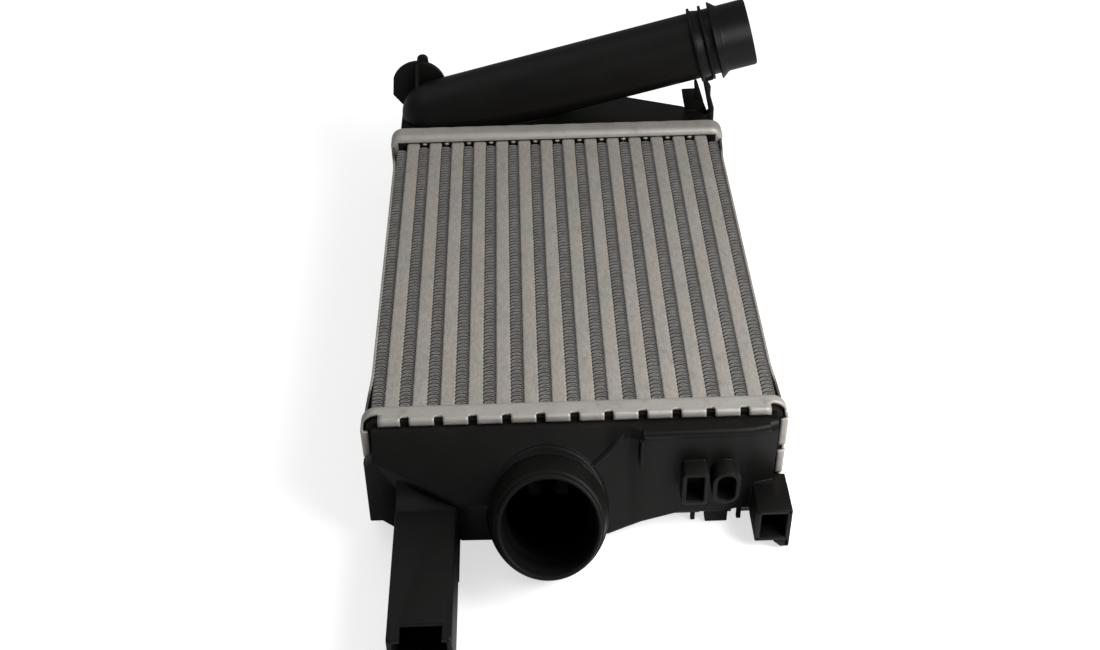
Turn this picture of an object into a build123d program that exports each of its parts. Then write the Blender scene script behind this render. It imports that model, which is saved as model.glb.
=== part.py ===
from build123d import *
import os
from math import cos, radians, sin, tan

# Charge-air intercooler: a brazed aluminium core of flat tubes and corrugated
# fins between two header plates, with a moulded plastic tank crimped on each.
# Millimetres.  Each piece is drawn about the middle of the core block, with +X
# to the right, +Y along the tubes from the near tank to the far tank and +Z out
# of the core face that lies uppermost.  The whole part is then moved so that its
# origin is the middle of its footprint, on the surface that it lies on.

# ---- core ----
TUBE_COUNT = 14
TUBE_PITCH = 14.0
TUBE_THICKNESS = 8.0
TUBE_DEPTH = 64.0
TUBE_WALL = 0.7
TUBE_BEVEL = 1.6
CORE_LENGTH = 248.0
TUBE_PROTRUSION = 4.0
TURBULATOR_WAVES = 2
TURBULATOR_SHEET = 0.5
TURBULATOR_END_GAP = 6.0
TURBULATOR_EDGE_GAP = 6.0
FIN_WAVES = 9
FIN_SHEET = 0.5
FIN_END_GAP = 5.0
OUTER_FIN_END_GAP = 6.0
SIDE_SHEET = 1.5
SIDE_FLARE = 2.2
SIDE_FLARE_LENGTH = 28.0
SIDE_TONGUE_DEPTH = 58.0

# ---- header plates ----
HEADER_SIDE_MARGIN = 4.0
HEADER_DEPTH_MARGIN = 4.5
HEADER_HEIGHT = 12.5
HEADER_SHEET = 1.5
HEADER_CORNER = 8.0
HEADER_BEVEL = 2.2
TAB_REACH = 4.0
TAB_BEVEL = 1.2
LONG_TABS = 12
LONG_TAB_PITCH = 16.7
SHORT_TABS = 3
SHORT_TAB_PITCH = 19.6
NOTCH_WIDTH = 4.5
NOTCH_ROOT_WIDTH = 3.4
NOTCH_DEPTH = 3.0
CORNER_OPENING_WIDTH = 10.0
CORNER_OPENING_DEPTH = 6.0
CORNER_OPENING_HEIGHT = 5.5
BUMP_WIDTH = 4.4
BUMP_DEPTH = 3.0
BUMP_HEIGHT = 1.4
BUMP_FROM_EDGE = 1.5

# ---- seal ----
SEAL_THICKNESS = 3.5
SEAL_WIDTH = 2.6
SEAL_SIDE_GAP = 0.2

# ---- tank mouldings ----
WALL = 3.0
FOOT_SIDE_GAP = 0.3
FOOT_RECESS_RIM = 3.2
FOOT_RECESS_HEIGHT = 2.5
TANK_SIDE_GAP = 1.0
TANK_DEPTH_GAP = 0.8
FRONT_BEVEL = 7.0

# ---- near tank: inlet socket ----
SOCKET_X = -14.6
SOCKET_Y = -195.0
SOCKET_Z = 20.3
SOCKET_TILT = 36.0
SOCKET_BORE = 44.8
SOCKET_SEAT = 30.0
SOCKET_THROAT = 41.0
SOCKET_LIP_DIAMETER = 49.6
SOCKET_LIP_LENGTH = 6.0
SOCKET_BEAD_DIAMETER = 52.4
SOCKET_BEAD_LENGTH = 2.0
SOCKET_NECK_DIAMETER = 59.0
SOCKET_LENGTH = 34.6
SOCKET_ROOT = 80.0
BOSS_HALF_HEIGHT = 33.7
BOSS_HALF_WIDTH = 30.0
BOSS_DEPTH = 30.0
CLIP_SLOT_WIDTH = 1.6
CLIP_SLOT_DEPTH = 2.0
CLIP_BRIDGE = 3.0

# ---- near tank: mounting arm, bracket and small features ----
ARM_X = -74.4
ARM_WIDTH = 29.6
ARM_TOP = 3.0
ARM_ROOT_DEPTH = 37.0
ARM_TIP_DEPTH = 31.0
ARM_STEP_Y = -180.0
ARM_ROOT_Y = -150.0
ARM_TIP_Y = -243.3
ARM_WALL = 2.6
ARM_FLOOR_EXTRA = 8.0
ARM_NOTCH_WIDTH = 18.8
ARM_NOTCH_LENGTH = 9.0
ARM_NOTCH_OFFSET = 0.7
ARM_SOCKET_END = -164.0
ARM_GUSSET_RISE = 10.0
ARM_GUSSET_REACH = 15.5
LUG_LEFT = -105.5
LUG_RIGHT = -86.0
LUG_TOP = 13.0
LUG_BOTTOM = -29.0
LUG_THICKNESS = 4.0
LUG_CHAMFER = 5.0
BRACKET_LEFT = 89.3
BRACKET_RIGHT = 107.0
BRACKET_TOP = -8.0
BRACKET_BOTTOM = -34.0
BRACKET_SHORT_BOTTOM = -29.5
BRACKET_TIP_Y = -163.0
BRACKET_WALL = 2.4
PANEL_LEFT = 33.0
PANEL_RIGHT = 76.0
PANEL_REACH = 22.0
PAD_REACH = 10.0
PAD_WALL = 2.4
PAD_HEIGHT = 21.5
PAD_Z = 1.8
PAD_BEVEL = 1.2
SQUARE_PAD_X = 58.7
SQUARE_PAD_WIDTH = 13.5
ROUND_PAD_X = 74.2
ROUND_PAD_WIDTH = 14.0
EDGE_BEAD_RADIUS = 2.6
EDGE_BEAD_RIGHT = 95.0
STEP_BEAD_RADIUS = 1.6
STEP_BEAD_BOTTOM = -11.0
CLIP_BLOCK_X = 72.5
CLIP_BLOCK_WIDTH = 11.4
CLIP_BLOCK_BOTTOM = -34.0
CLIP_PIN_WIDTH = 2.2
CLIP_PIN_SPACING = 23.8
CLIP_DEPTH = 5.0

# ---- far tank: outlet pipe and spigot ----
PIPE_Y = 160.0
PIPE_START_X = -79.0
PIPE_START_Z = 32.6
PIPE_RISE = 14.57
PIPE_DIAMETER = 41.6
PIPE_BORE = 36.0
PIPE_LENGTH = 209.5
PIPE_WINDOW_END = 57.0
ELBOW_ANGLES = (90, 60, 30, 0)
SPIGOT_FLANGE_START = 173.2
SPIGOT_FLANGE_SPAN = 9.0
SPIGOT_FLANGE_WIDTH = 1.8
SPIGOT_FLANGE_DIAMETER = 47.0
SPIGOT_CORE_DIAMETER = 43.6
SPIGOT_RIB_START = 186.3
SPIGOT_RIB_LENGTH = 5.0
SPIGOT_RIB_DIAMETER = 48.8
SPIGOT_DIAMETER = 42.0
LATCH_BOSS_LENGTH = 5.4
LATCH_BOSS_WIDTH = 15.0
LATCH_BOSS_HEIGHT = 1.6

# ---- far tank: locating pin, strut and clip bracket ----
PIN_X = -89.0
PIN_Z = 43.0
PIN_DISC_DIAMETER = 35.0
PIN_DISC_THICKNESS = 3.0
PIN_DISC_Y = 176.0
PIN_DIAMETER = 6.4
PIN_TIP_Y = 207.5
PIN_WEB_THICKNESS = 2.2
PIN_WEB_RISE = 8.0
STRUT_THICKNESS = 4.0
STRUT_FOOT_LEFT = 95.5
STRUT_FOOT_RIGHT = 100.0
STRUT_LEAN = 3.5
CLIP_PLATE_LEFT = 80.7
CLIP_PLATE_RIGHT = 89.3
CLIP_PLATE_TOP = 46.0
CLIP_PLATE_THICKNESS = 3.0
CLIP_PLATE_Y = 158.0
CLIP_FINGER_WIDTH = 2.0
CLIP_FINGER_TOP = 52.0

# Volume, in cubic millimetres, below which four corners count as flat.
FLATNESS = 0.001

HALF_CORE = CORE_LENGTH / 2
COLUMN_WIDTH = TUBE_PITCH - TUBE_THICKNESS
CORE_WIDTH = TUBE_COUNT * TUBE_PITCH + COLUMN_WIDTH
HEADER_WIDTH = CORE_WIDTH + 2 * HEADER_SIDE_MARGIN
HEADER_DEPTH = TUBE_DEPTH + 2 * HEADER_DEPTH_MARGIN
LIP_LEVEL = HEADER_HEIGHT - HEADER_SHEET
FOOT_LEVEL = HEADER_SHEET + SEAL_THICKNESS
OPENING_WIDTH = HEADER_WIDTH - 2 * TAB_REACH
OPENING_DEPTH = HEADER_DEPTH - 2 * TAB_REACH
FOOT_WIDTH = HEADER_WIDTH - 2 * HEADER_SHEET - 2 * FOOT_SIDE_GAP
FOOT_DEPTH = HEADER_DEPTH - 2 * HEADER_SHEET - 2 * FOOT_SIDE_GAP
TANK_WIDTH = OPENING_WIDTH - 2 * TANK_SIDE_GAP
TANK_DEPTH = OPENING_DEPTH - 2 * TANK_DEPTH_GAP
TANK_END = TANK_WIDTH / 2
TANK_TOP = TANK_DEPTH / 2
CORNER_INSET = tan(radians(22.5))


def bevelled(width, height, bevel):
    """Rectangle with its four corners cut off at 45 degrees."""
    return chamfer(Rectangle(width, height).vertices(), bevel)


def along_y(sketch, start, end):
    """Solid of an X-Z outline between two Y stations."""
    return extrude(Plane.XZ.offset(-start) * sketch, amount=-(end - start))


def along_x(sketch, start, end):
    """Solid of a Y-Z outline between two X stations."""
    return extrude(Plane.YZ.offset(start) * sketch, amount=end - start)


def along_z(sketch, start, end):
    """Solid of an X-Y outline between two Z levels."""
    return extrude(Plane.XY.offset(start) * sketch, amount=end - start)


def block(x_range, y_range, z_range):
    """Box from its three ranges."""
    size = [high - low for low, high in (x_range, y_range, z_range)]
    middle = [(high + low) / 2 for low, high in (x_range, y_range, z_range)]
    return Pos(*middle) * Box(*size)


def zigzag(half_height, half_pitch, count, sheet):
    """Outline of a corrugated strip that runs along +X and is centred on the origin."""
    reach = half_height - sheet / 2
    start = -half_pitch * count / 2
    upper = [(start + half_pitch * i, reach * (-1) ** i + sheet / 2) for i in range(count + 1)]
    lower = [(x, y - sheet) for x, y in upper]
    return make_face(Polyline(*upper, *reversed(lower), close=True))


def centre_x(index, count):
    """X of one of a row of tubes or fin columns centred on the core."""
    return (index - (count - 1) / 2) * TUBE_PITCH


# ---------------------------------------------------------------- core pieces
def tube_outline():
    return bevelled(TUBE_THICKNESS, TUBE_DEPTH, TUBE_BEVEL)


def tube(x):
    outer = tube_outline()
    inner_bevel = TUBE_BEVEL - TUBE_WALL * CORNER_INSET
    inner = bevelled(TUBE_THICKNESS - 2 * TUBE_WALL, TUBE_DEPTH - 2 * TUBE_WALL, inner_bevel)
    reach = HALF_CORE + TUBE_PROTRUSION
    return along_y(Pos(x, 0) * (outer - inner), -reach, reach)


def turbulator(x):
    half_height = TUBE_THICKNESS / 2 - TUBE_WALL
    flat = TUBE_DEPTH - 2 * TURBULATOR_EDGE_GAP
    count = 2 * TURBULATOR_WAVES
    outline = Rot(0, 0, 90) * zigzag(half_height, flat / count, count, TURBULATOR_SHEET)
    reach = HALF_CORE + TUBE_PROTRUSION - TURBULATOR_END_GAP
    return along_y(Pos(x, 0) * outline, -reach, reach)


def fin_strip(x, end_gap):
    length = CORE_LENGTH - 2 * end_gap
    count = 2 * FIN_WAVES
    outline = Rot(0, 0, 90) * zigzag(COLUMN_WIDTH / 2, length / count, count, FIN_SHEET)
    return along_z(Pos(x, 0) * outline, -TUBE_DEPTH / 2, TUBE_DEPTH / 2)


def header_blank():
    """Header plate as a closed pan, before its opening and slots are cut."""
    outer = RectangleRounded(HEADER_WIDTH, HEADER_DEPTH, HEADER_CORNER)
    body = along_y(outer, HALF_CORE, HALF_CORE + HEADER_HEIGHT)
    body = chamfer(body.faces().sort_by(Axis.Y)[0].edges(), HEADER_BEVEL)
    return chamfer(body.faces().sort_by(Axis.Y)[-1].edges(), TAB_BEVEL)


def side_plate():
    inner = CORE_WIDTH / 2
    flare_start = HALF_CORE - SIDE_FLARE_LENGTH
    reach = HALF_CORE + HEADER_BEVEL
    flared = inner + SIDE_FLARE
    inside = [(flared, -reach), (inner, -flare_start), (inner, flare_start), (flared, reach)]
    outside = [(x + SIDE_SHEET, y) for x, y in inside]
    outline = make_face(Polyline(*inside, *reversed(outside), close=True))
    plate = along_z(outline, -TUBE_DEPTH / 2, TUBE_DEPTH / 2)
    tongue = SIDE_TONGUE_DEPTH / 2
    side = TUBE_DEPTH / 2
    side_view = Polygon(
        (-HALF_CORE, -tongue), (-flare_start, -side), (flare_start, -side), (HALF_CORE, -tongue),
        (HALF_CORE, tongue), (flare_start, side), (-flare_start, side), (-HALF_CORE, tongue))
    side_view += Rectangle(2 * reach, SIDE_TONGUE_DEPTH)
    plate &= along_x(side_view, inner - SIDE_SHEET, inner + SIDE_FLARE + 2 * SIDE_SHEET)
    far_header = header_blank()
    return plate - far_header - mirror(far_header, about=Plane.XZ)


# -------------------------------------------------------------- header plates
def notch(centre, top):
    """Notch between two tabs, open towards +Y and narrower at its root."""
    half = NOTCH_WIDTH / 2
    root = top - NOTCH_DEPTH
    root_half = NOTCH_ROOT_WIDTH / 2
    return Polygon(
        (centre - half, top), (centre - root_half, root), (centre + root_half, root), (centre + half, top))


def header_plate():
    top = HALF_CORE + HEADER_HEIGHT
    body = header_blank()
    inside = bevelled(
        HEADER_WIDTH - 2 * HEADER_SHEET, HEADER_DEPTH - 2 * HEADER_SHEET, HEADER_CORNER - HEADER_SHEET)
    body -= along_y(inside, HALF_CORE + HEADER_SHEET, HALF_CORE + LIP_LEVEL)
    body -= along_y(Rectangle(OPENING_WIDTH, OPENING_DEPTH), HALF_CORE + LIP_LEVEL, top)
    for i in range(TUBE_COUNT):
        slot = Pos(centre_x(i, TUBE_COUNT), 0) * tube_outline()
        body -= along_y(slot, HALF_CORE, HALF_CORE + HEADER_SHEET)
    for i in range(LONG_TABS - 1):
        x = (i - (LONG_TABS - 2) / 2) * LONG_TAB_PITCH
        body -= along_z(notch(x, top), -HEADER_DEPTH / 2, -OPENING_DEPTH / 2)
        body -= along_z(notch(x, top), OPENING_DEPTH / 2, HEADER_DEPTH / 2)
    for i in range(SHORT_TABS - 1):
        z = (i - (SHORT_TABS - 2) / 2) * SHORT_TAB_PITCH
        outline = mirror(Rot(0, 0, 90) * notch(z, top), about=Plane.YZ)
        body -= along_x(outline, -HEADER_WIDTH / 2, -OPENING_WIDTH / 2)
        body -= along_x(outline, OPENING_WIDTH / 2, HEADER_WIDTH / 2)
    for x_side in (-1, 1):
        for z_side in (-1, 1):
            corner = Pos(x_side * HEADER_WIDTH / 2, z_side * HEADER_DEPTH / 2)
            gap = corner * Rectangle(2 * CORNER_OPENING_WIDTH, 2 * CORNER_OPENING_DEPTH)
            body -= along_y(gap, top - CORNER_OPENING_HEIGHT, top)
    for i in range(TUBE_COUNT - 1):
        x = centre_x(i, TUBE_COUNT - 1)
        for z_side in (-1, 1):
            z = z_side * (TUBE_DEPTH / 2 - BUMP_FROM_EDGE)
            half = BUMP_WIDTH / 2
            outline = Polygon((x - half, HALF_CORE), (x, HALF_CORE - BUMP_HEIGHT), (x + half, HALF_CORE))
            body += along_z(outline, z - BUMP_DEPTH / 2, z + BUMP_DEPTH / 2)
    return body


def seal():
    outer_width = HEADER_WIDTH - 2 * HEADER_SHEET - 2 * SEAL_SIDE_GAP
    outer_depth = HEADER_DEPTH - 2 * HEADER_SHEET - 2 * SEAL_SIDE_GAP
    corner = HEADER_CORNER - HEADER_SHEET - SEAL_SIDE_GAP
    ring = bevelled(outer_width, outer_depth, corner)
    ring -= bevelled(outer_width - 2 * SEAL_WIDTH, outer_depth - 2 * SEAL_WIDTH, corner - SEAL_WIDTH)
    return along_y(ring, HALF_CORE + HEADER_SHEET, HALF_CORE + FOOT_LEVEL)


# ------------------------------------------------------------------ near tank
# Section of the near tank at each X station, as distances out from the core face
# and levels: where the top wall ends, where the front wall starts, where it ends.
NEAR_STATIONS = [
    (-TANK_END, 14.0, (24.0, 20.0), 17.0),
    (-58.0, 14.0, (41.0, 5.0), 36.5),
    (-30.0, 14.0, (42.0, 5.0), 37.0),
    (6.0, 14.0, (29.0, 16.0), 37.0),
    (16.0, 14.0, (22.5, 22.5), 35.0),
    (26.0, 15.5, (19.0, 28.0), 30.5),
    (PANEL_LEFT, 19.5, (PANEL_REACH, 27.5), 27.5),
    (52.0, 19.5, (PANEL_REACH, 27.5), PANEL_REACH),
    (PANEL_RIGHT, 19.5, (PANEL_REACH, 27.5), PANEL_REACH),
    (88.0, 19.0, (21.5, 27.5), 18.5),
    (TANK_END, 15.5, (18.0, 27.5), 15.5),
]

# The same for the far tank, whose back wall is upright.
FAR_STATIONS = [
    (-TANK_END, 46.0, (52.0, 24.0), 52.0),
    (-58.0, 52.0, (58.0, 24.0), 58.0),
    (47.0, 52.0, (58.0, 24.0), 58.0),
    (83.0, 38.0, (44.0, 24.0), 44.0),
    (TANK_END, 25.0, (31.0, 24.0), 31.0),
]


def tank_section(station, inset, y_sign):
    """Corners of a tank's Y-Z outline at one station, shrunk inwards by the inset."""
    x, top_out, (front_out, front_z), foot_out = station
    trim = inset * CORNER_INSET
    bevel = FRONT_BEVEL - trim
    floor = inset - TANK_TOP
    side = TANK_END - inset
    section_x = max(-side, min(side, x))
    outline = [
        (FOOT_LEVEL, TANK_TOP - inset),
        (top_out - trim, TANK_TOP - inset),
        (front_out - inset, front_z - trim),
        (foot_out - inset, floor + bevel),
        (foot_out - inset - bevel, floor),
        (FOOT_LEVEL, floor),
    ]
    return [Vector(section_x, y_sign * (HALF_CORE + out), z) for out, z in outline]


def bay_side(a, b, c, d):
    """Side of a bay between two sections: one face where it is flat, else two triangles."""
    if abs((b - a).cross(c - a).dot(d - a)) < FLATNESS:
        return [Face(Wire.make_polygon([a, b, c, d]))]
    return [Face(Wire.make_polygon([a, b, c])), Face(Wire.make_polygon([a, c, d]))]


def tank_body(stations, inset, y_sign):
    """Flat-sided solid through the sections at all the stations."""
    sections = [tank_section(station, inset, y_sign) for station in stations]
    faces = [Face(Wire.make_polygon(sections[0])), Face(Wire.make_polygon(sections[-1]))]
    for left, right in zip(sections, sections[1:]):
        for i in range(len(left)):
            faces += bay_side(left[i - 1], left[i], right[i], right[i - 1])
    return Solid(Shell(faces))


def tank_foot(y_sign):
    """Flange of the tank that the crimped tabs hold, with its opening."""
    rim = bevelled(FOOT_WIDTH, FOOT_DEPTH, HEADER_CORNER - HEADER_SHEET)
    levels = sorted([y_sign * (HALF_CORE + FOOT_LEVEL), y_sign * (HALF_CORE + LIP_LEVEL)])
    return along_y(rim, *levels)


def tank_inside(stations, y_sign):
    """Air space of the tank, with the recess over the tube ends."""
    space = tank_body(stations, WALL, y_sign)
    recess = Rectangle(FOOT_WIDTH - 2 * FOOT_RECESS_RIM, FOOT_DEPTH - 2 * FOOT_RECESS_RIM)
    start = HALF_CORE + FOOT_LEVEL
    levels = sorted([y_sign * start, y_sign * (start + FOOT_RECESS_HEIGHT)])
    return space + along_y(recess, *levels)


def socket_plane():
    tilt = radians(SOCKET_TILT)
    return Plane(
        origin=(SOCKET_X, SOCKET_Y, SOCKET_Z), x_dir=(1, 0, 0), z_dir=(0, -cos(tilt), sin(tilt)))


def socket_room(start_level, inset):
    """Box that keeps the socket in front of the core and above the tank's underside."""
    reach = SOCKET_ROOT + BOSS_HALF_HEIGHT
    x_range = (SOCKET_X - reach, SOCKET_X + reach)
    y_range = (SOCKET_Y - reach, -(HALF_CORE + start_level))
    return block(x_range, y_range, (inset - TANK_TOP, SOCKET_Z + reach))


def socket_outside():
    plane = socket_plane()
    bead_start = SOCKET_LIP_LENGTH + SOCKET_BEAD_LENGTH
    profile = Polyline(
        (0, 0), (SOCKET_LIP_DIAMETER / 2, 0), (SOCKET_LIP_DIAMETER / 2, -SOCKET_LIP_LENGTH),
        (SOCKET_BEAD_DIAMETER / 2, -SOCKET_LIP_LENGTH), (SOCKET_BEAD_DIAMETER / 2, -bead_start),
        (SOCKET_NECK_DIAMETER / 2, -SOCKET_LENGTH), (SOCKET_NECK_DIAMETER / 2, -SOCKET_ROOT),
        (0, -SOCKET_ROOT), close=True)
    neck = revolve(Plane.XZ * make_face(profile), Axis.Z)
    boss_outline = Rot(0, 0, 90) * SlotOverall(2 * BOSS_HALF_HEIGHT, 2 * BOSS_HALF_WIDTH)
    boss = Pos(0, 0, -SOCKET_LENGTH - BOSS_DEPTH) * extrude(boss_outline, amount=BOSS_DEPTH)
    return (plane * (neck + boss)) & socket_room(LIP_LEVEL, 0.0)


def socket_inside():
    """Seat of the hose end, and the narrower throat that it stops on."""
    throat = Pos(0, 0, -SOCKET_ROOT) * extrude(Circle(SOCKET_THROAT / 2), amount=SOCKET_ROOT)
    seat = Pos(0, 0, -SOCKET_SEAT) * extrude(Circle(SOCKET_BORE / 2), amount=SOCKET_SEAT)
    return (socket_plane() * (throat + seat)) & socket_room(FOOT_LEVEL, WALL)


def clip_slot():
    """Groove for the hose clip round the upper half of the neck, with a bridge at the top."""
    outer = SOCKET_NECK_DIAMETER / 2
    rim = outer + CLIP_SLOT_DEPTH
    ring = Circle(rim) - Circle(outer - CLIP_SLOT_DEPTH)
    upper = Pos(0, rim / 2) * Rectangle(2 * rim, rim)
    bridge = Pos(0, rim / 2) * Rectangle(CLIP_BRIDGE, rim)
    groove = extrude((ring & upper) - bridge, amount=CLIP_SLOT_WIDTH)
    return socket_plane() * (Pos(0, 0, -SOCKET_LENGTH) * groove)


def arm():
    """Box-section arm that carries the intercooler at the near left corner."""
    left = ARM_X - ARM_WIDTH / 2
    right = ARM_X + ARM_WIDTH / 2
    root = block((left, right), (ARM_STEP_Y, ARM_ROOT_Y), (ARM_TOP - ARM_ROOT_DEPTH, ARM_TOP))
    outer = block((left, right), (ARM_TIP_Y, ARM_STEP_Y), (ARM_TOP - ARM_TIP_DEPTH, ARM_TOP))
    floor_z = ARM_TOP - ARM_TIP_DEPTH
    floor = block(
        (left + ARM_WALL, right), (ARM_TIP_Y - ARM_FLOOR_EXTRA, ARM_TIP_Y), (floor_z, floor_z + ARM_WALL))
    gusset = Polygon(
        (ARM_ROOT_Y, ARM_TOP), (ARM_ROOT_Y, ARM_TOP + ARM_GUSSET_RISE),
        (ARM_ROOT_Y - ARM_GUSSET_REACH, ARM_TOP))
    return root + outer + floor + along_x(gusset, left, right)


def arm_socket():
    """Hollow of the arm, open at its tip, and the notch in its top plate."""
    left = ARM_X - ARM_WIDTH / 2 + ARM_WALL
    right = ARM_X + ARM_WIDTH / 2 - ARM_WALL
    floor_z = ARM_TOP - ARM_TIP_DEPTH + ARM_WALL
    hollow = block((left, right), (ARM_TIP_Y, ARM_SOCKET_END), (floor_z, ARM_TOP - ARM_WALL))
    notch_x = ARM_X + ARM_NOTCH_OFFSET
    half = ARM_NOTCH_WIDTH / 2
    y_range = (ARM_TIP_Y, ARM_TIP_Y + ARM_NOTCH_LENGTH)
    top_notch = block((notch_x - half, notch_x + half), y_range, (ARM_TOP - ARM_WALL, ARM_TOP))
    return hollow + top_notch


def lug():
    face = -(HALF_CORE + HEADER_HEIGHT + FOOT_SIDE_GAP)
    outline = Polygon(
        (LUG_LEFT, LUG_TOP), (LUG_LEFT, LUG_BOTTOM), (LUG_RIGHT - 2 * LUG_CHAMFER, LUG_BOTTOM),
        (LUG_RIGHT, LUG_BOTTOM - LUG_CHAMFER), (LUG_RIGHT, LUG_TOP))
    return along_y(outline, face - LUG_THICKNESS, face)


def bracket():
    """Box bracket beside the near tank, open towards its tip."""
    face = -(HALF_CORE + HEADER_HEIGHT + FOOT_SIDE_GAP)
    middle = (BRACKET_LEFT + BRACKET_RIGHT) / 2
    outline = Polygon(
        (BRACKET_LEFT, BRACKET_TOP), (BRACKET_LEFT, BRACKET_SHORT_BOTTOM), (middle, BRACKET_SHORT_BOTTOM),
        (middle + BRACKET_SHORT_BOTTOM - BRACKET_BOTTOM, BRACKET_BOTTOM), (BRACKET_RIGHT, BRACKET_BOTTOM),
        (BRACKET_RIGHT, BRACKET_TOP))
    return along_y(outline, BRACKET_TIP_Y, face)


def bracket_socket():
    face = -(HALF_CORE + HEADER_HEIGHT + FOOT_SIDE_GAP)
    left = BRACKET_LEFT + BRACKET_WALL
    right = BRACKET_RIGHT - BRACKET_WALL
    end = face - 3 * BRACKET_WALL
    floor = BRACKET_SHORT_BOTTOM + BRACKET_WALL
    return block((left, right), (BRACKET_TIP_Y, end), (floor, BRACKET_TOP - BRACKET_WALL))


def pads():
    """Two hollow pads that stand out from the front wall."""
    square = bevelled(SQUARE_PAD_WIDTH, PAD_HEIGHT, PAD_BEVEL)
    square -= Rectangle(SQUARE_PAD_WIDTH - 2 * PAD_WALL, PAD_HEIGHT - 2 * PAD_WALL)
    obround = SlotOverall(PAD_HEIGHT, ROUND_PAD_WIDTH)
    obround -= SlotOverall(PAD_HEIGHT - 2 * PAD_WALL, ROUND_PAD_WIDTH - 2 * PAD_WALL)
    reach = (-(HALF_CORE + PANEL_REACH + PAD_REACH), -(HALF_CORE + PANEL_REACH - WALL / 2))
    result = along_y(Pos(SQUARE_PAD_X, PAD_Z) * square, *reach)
    return result + along_y(Pos(ROUND_PAD_X, PAD_Z) * (Rot(0, 0, 90) * obround), *reach)


def near_beads():
    """Rounded beads along the top edge and up the step of the front wall."""
    front = -(HALF_CORE + PANEL_REACH)
    top = TANK_TOP - EDGE_BEAD_RADIUS
    edge = Pos(front + EDGE_BEAD_RADIUS, top) * Circle(EDGE_BEAD_RADIUS)
    step = Pos(PANEL_LEFT, front) * Circle(STEP_BEAD_RADIUS)
    return along_x(edge, PANEL_LEFT, EDGE_BEAD_RIGHT) + along_z(step, STEP_BEAD_BOTTOM, top)


def clip_feet():
    """Harness clip block and its two pins under the near tank."""
    z_range = (CLIP_BLOCK_BOTTOM, WALL - TANK_TOP)
    middle = FRONT_BEVEL / 2 + CLIP_DEPTH / 2 - HALF_CORE - PANEL_REACH
    result = along_z(Pos(CLIP_BLOCK_X, middle) * Rectangle(CLIP_BLOCK_WIDTH, CLIP_DEPTH), *z_range)
    for side in (-1, 1):
        place = Pos(CLIP_BLOCK_X + side * CLIP_PIN_SPACING / 2, middle)
        result += along_z(place * Rectangle(CLIP_PIN_WIDTH, CLIP_PIN_WIDTH), *z_range)
    return result


def near_tank():
    body = tank_foot(-1) + tank_body(NEAR_STATIONS, 0.0, -1)
    body += socket_outside()
    body += arm() + lug() + bracket()
    body += near_beads()
    body += clip_feet()
    body -= tank_inside(NEAR_STATIONS, -1)
    body -= socket_inside()
    body -= clip_slot()
    body -= arm_socket()
    body -= bracket_socket()
    return body + pads()


# ------------------------------------------------------------------- far tank
def pipe_plane():
    rise = radians(PIPE_RISE)
    start = (PIPE_START_X, PIPE_Y, PIPE_START_Z)
    return Plane(origin=start, x_dir=(cos(rise), 0, sin(rise)), z_dir=(0, -1, 0))


def pipe_outside():
    radius = PIPE_DIAMETER / 2
    flange = SPIGOT_FLANGE_DIAMETER / 2
    core = SPIGOT_CORE_DIAMETER / 2
    spigot = SPIGOT_DIAMETER / 2
    flange_end = SPIGOT_FLANGE_START + SPIGOT_FLANGE_SPAN
    rib_end = SPIGOT_RIB_START + SPIGOT_RIB_LENGTH
    groove_start = SPIGOT_FLANGE_START + SPIGOT_FLANGE_WIDTH
    groove_end = flange_end - SPIGOT_FLANGE_WIDTH
    dome = [(-radius * sin(radians(angle)), radius * cos(radians(angle))) for angle in ELBOW_ANGLES]
    profile = Polyline(
        *dome, (SPIGOT_FLANGE_START, radius), (SPIGOT_FLANGE_START, flange),
        (groove_start, flange), (groove_start, core), (groove_end, core), (groove_end, flange),
        (flange_end, flange), (flange_end, radius),
        (SPIGOT_RIB_START, radius), (SPIGOT_RIB_START, SPIGOT_RIB_DIAMETER / 2), (rib_end, spigot),
        (PIPE_LENGTH, spigot), (PIPE_LENGTH, 0), close=True)
    pipe = revolve(make_face(profile), Axis.X)
    boss = Pos(SPIGOT_FLANGE_START + SPIGOT_FLANGE_SPAN / 2, 0, core) * Box(
        LATCH_BOSS_LENGTH, LATCH_BOSS_WIDTH, 2 * LATCH_BOSS_HEIGHT)
    return pipe_plane() * (pipe + boss)


def pipe_inside():
    radius = PIPE_BORE / 2
    bore = Rot(0, 90, 0) * extrude(Circle(radius), amount=PIPE_LENGTH)
    return pipe_plane() * bore


def pipe_window():
    """Opening between the tank and the underside of the pipe."""
    outline = SlotOverall(PIPE_WINDOW_END + PIPE_BORE / 2, PIPE_BORE - 2 * WALL)
    middle = PIPE_START_X + (PIPE_WINDOW_END - PIPE_BORE / 2) / 2 + WALL
    return along_z(Pos(middle, PIPE_Y) * outline, 0, PIPE_START_Z)


def locating_pin():
    """Disc with the locating pin behind the elbow, and the web that stiffens it."""
    disc = Pos(PIN_X, PIN_Z) * Circle(PIN_DISC_DIAMETER / 2)
    disc = along_y(disc, PIN_DISC_Y, PIN_DISC_Y + PIN_DISC_THICKNESS)
    pin = along_y(Pos(PIN_X, PIN_Z) * Circle(PIN_DIAMETER / 2), PIN_DISC_Y, PIN_TIP_Y)
    web_outline = Polygon(
        (PIPE_Y, PIPE_START_Z), (PIN_DISC_Y, PIPE_START_Z), (PIN_DISC_Y, PIN_Z + PIN_DISC_DIAMETER / 2),
        (PIPE_Y, PIN_Z + PIN_WEB_RISE))
    half = PIN_WEB_THICKNESS / 2
    return disc + pin + along_x(web_outline, PIN_X - half, PIN_X + half)


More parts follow.
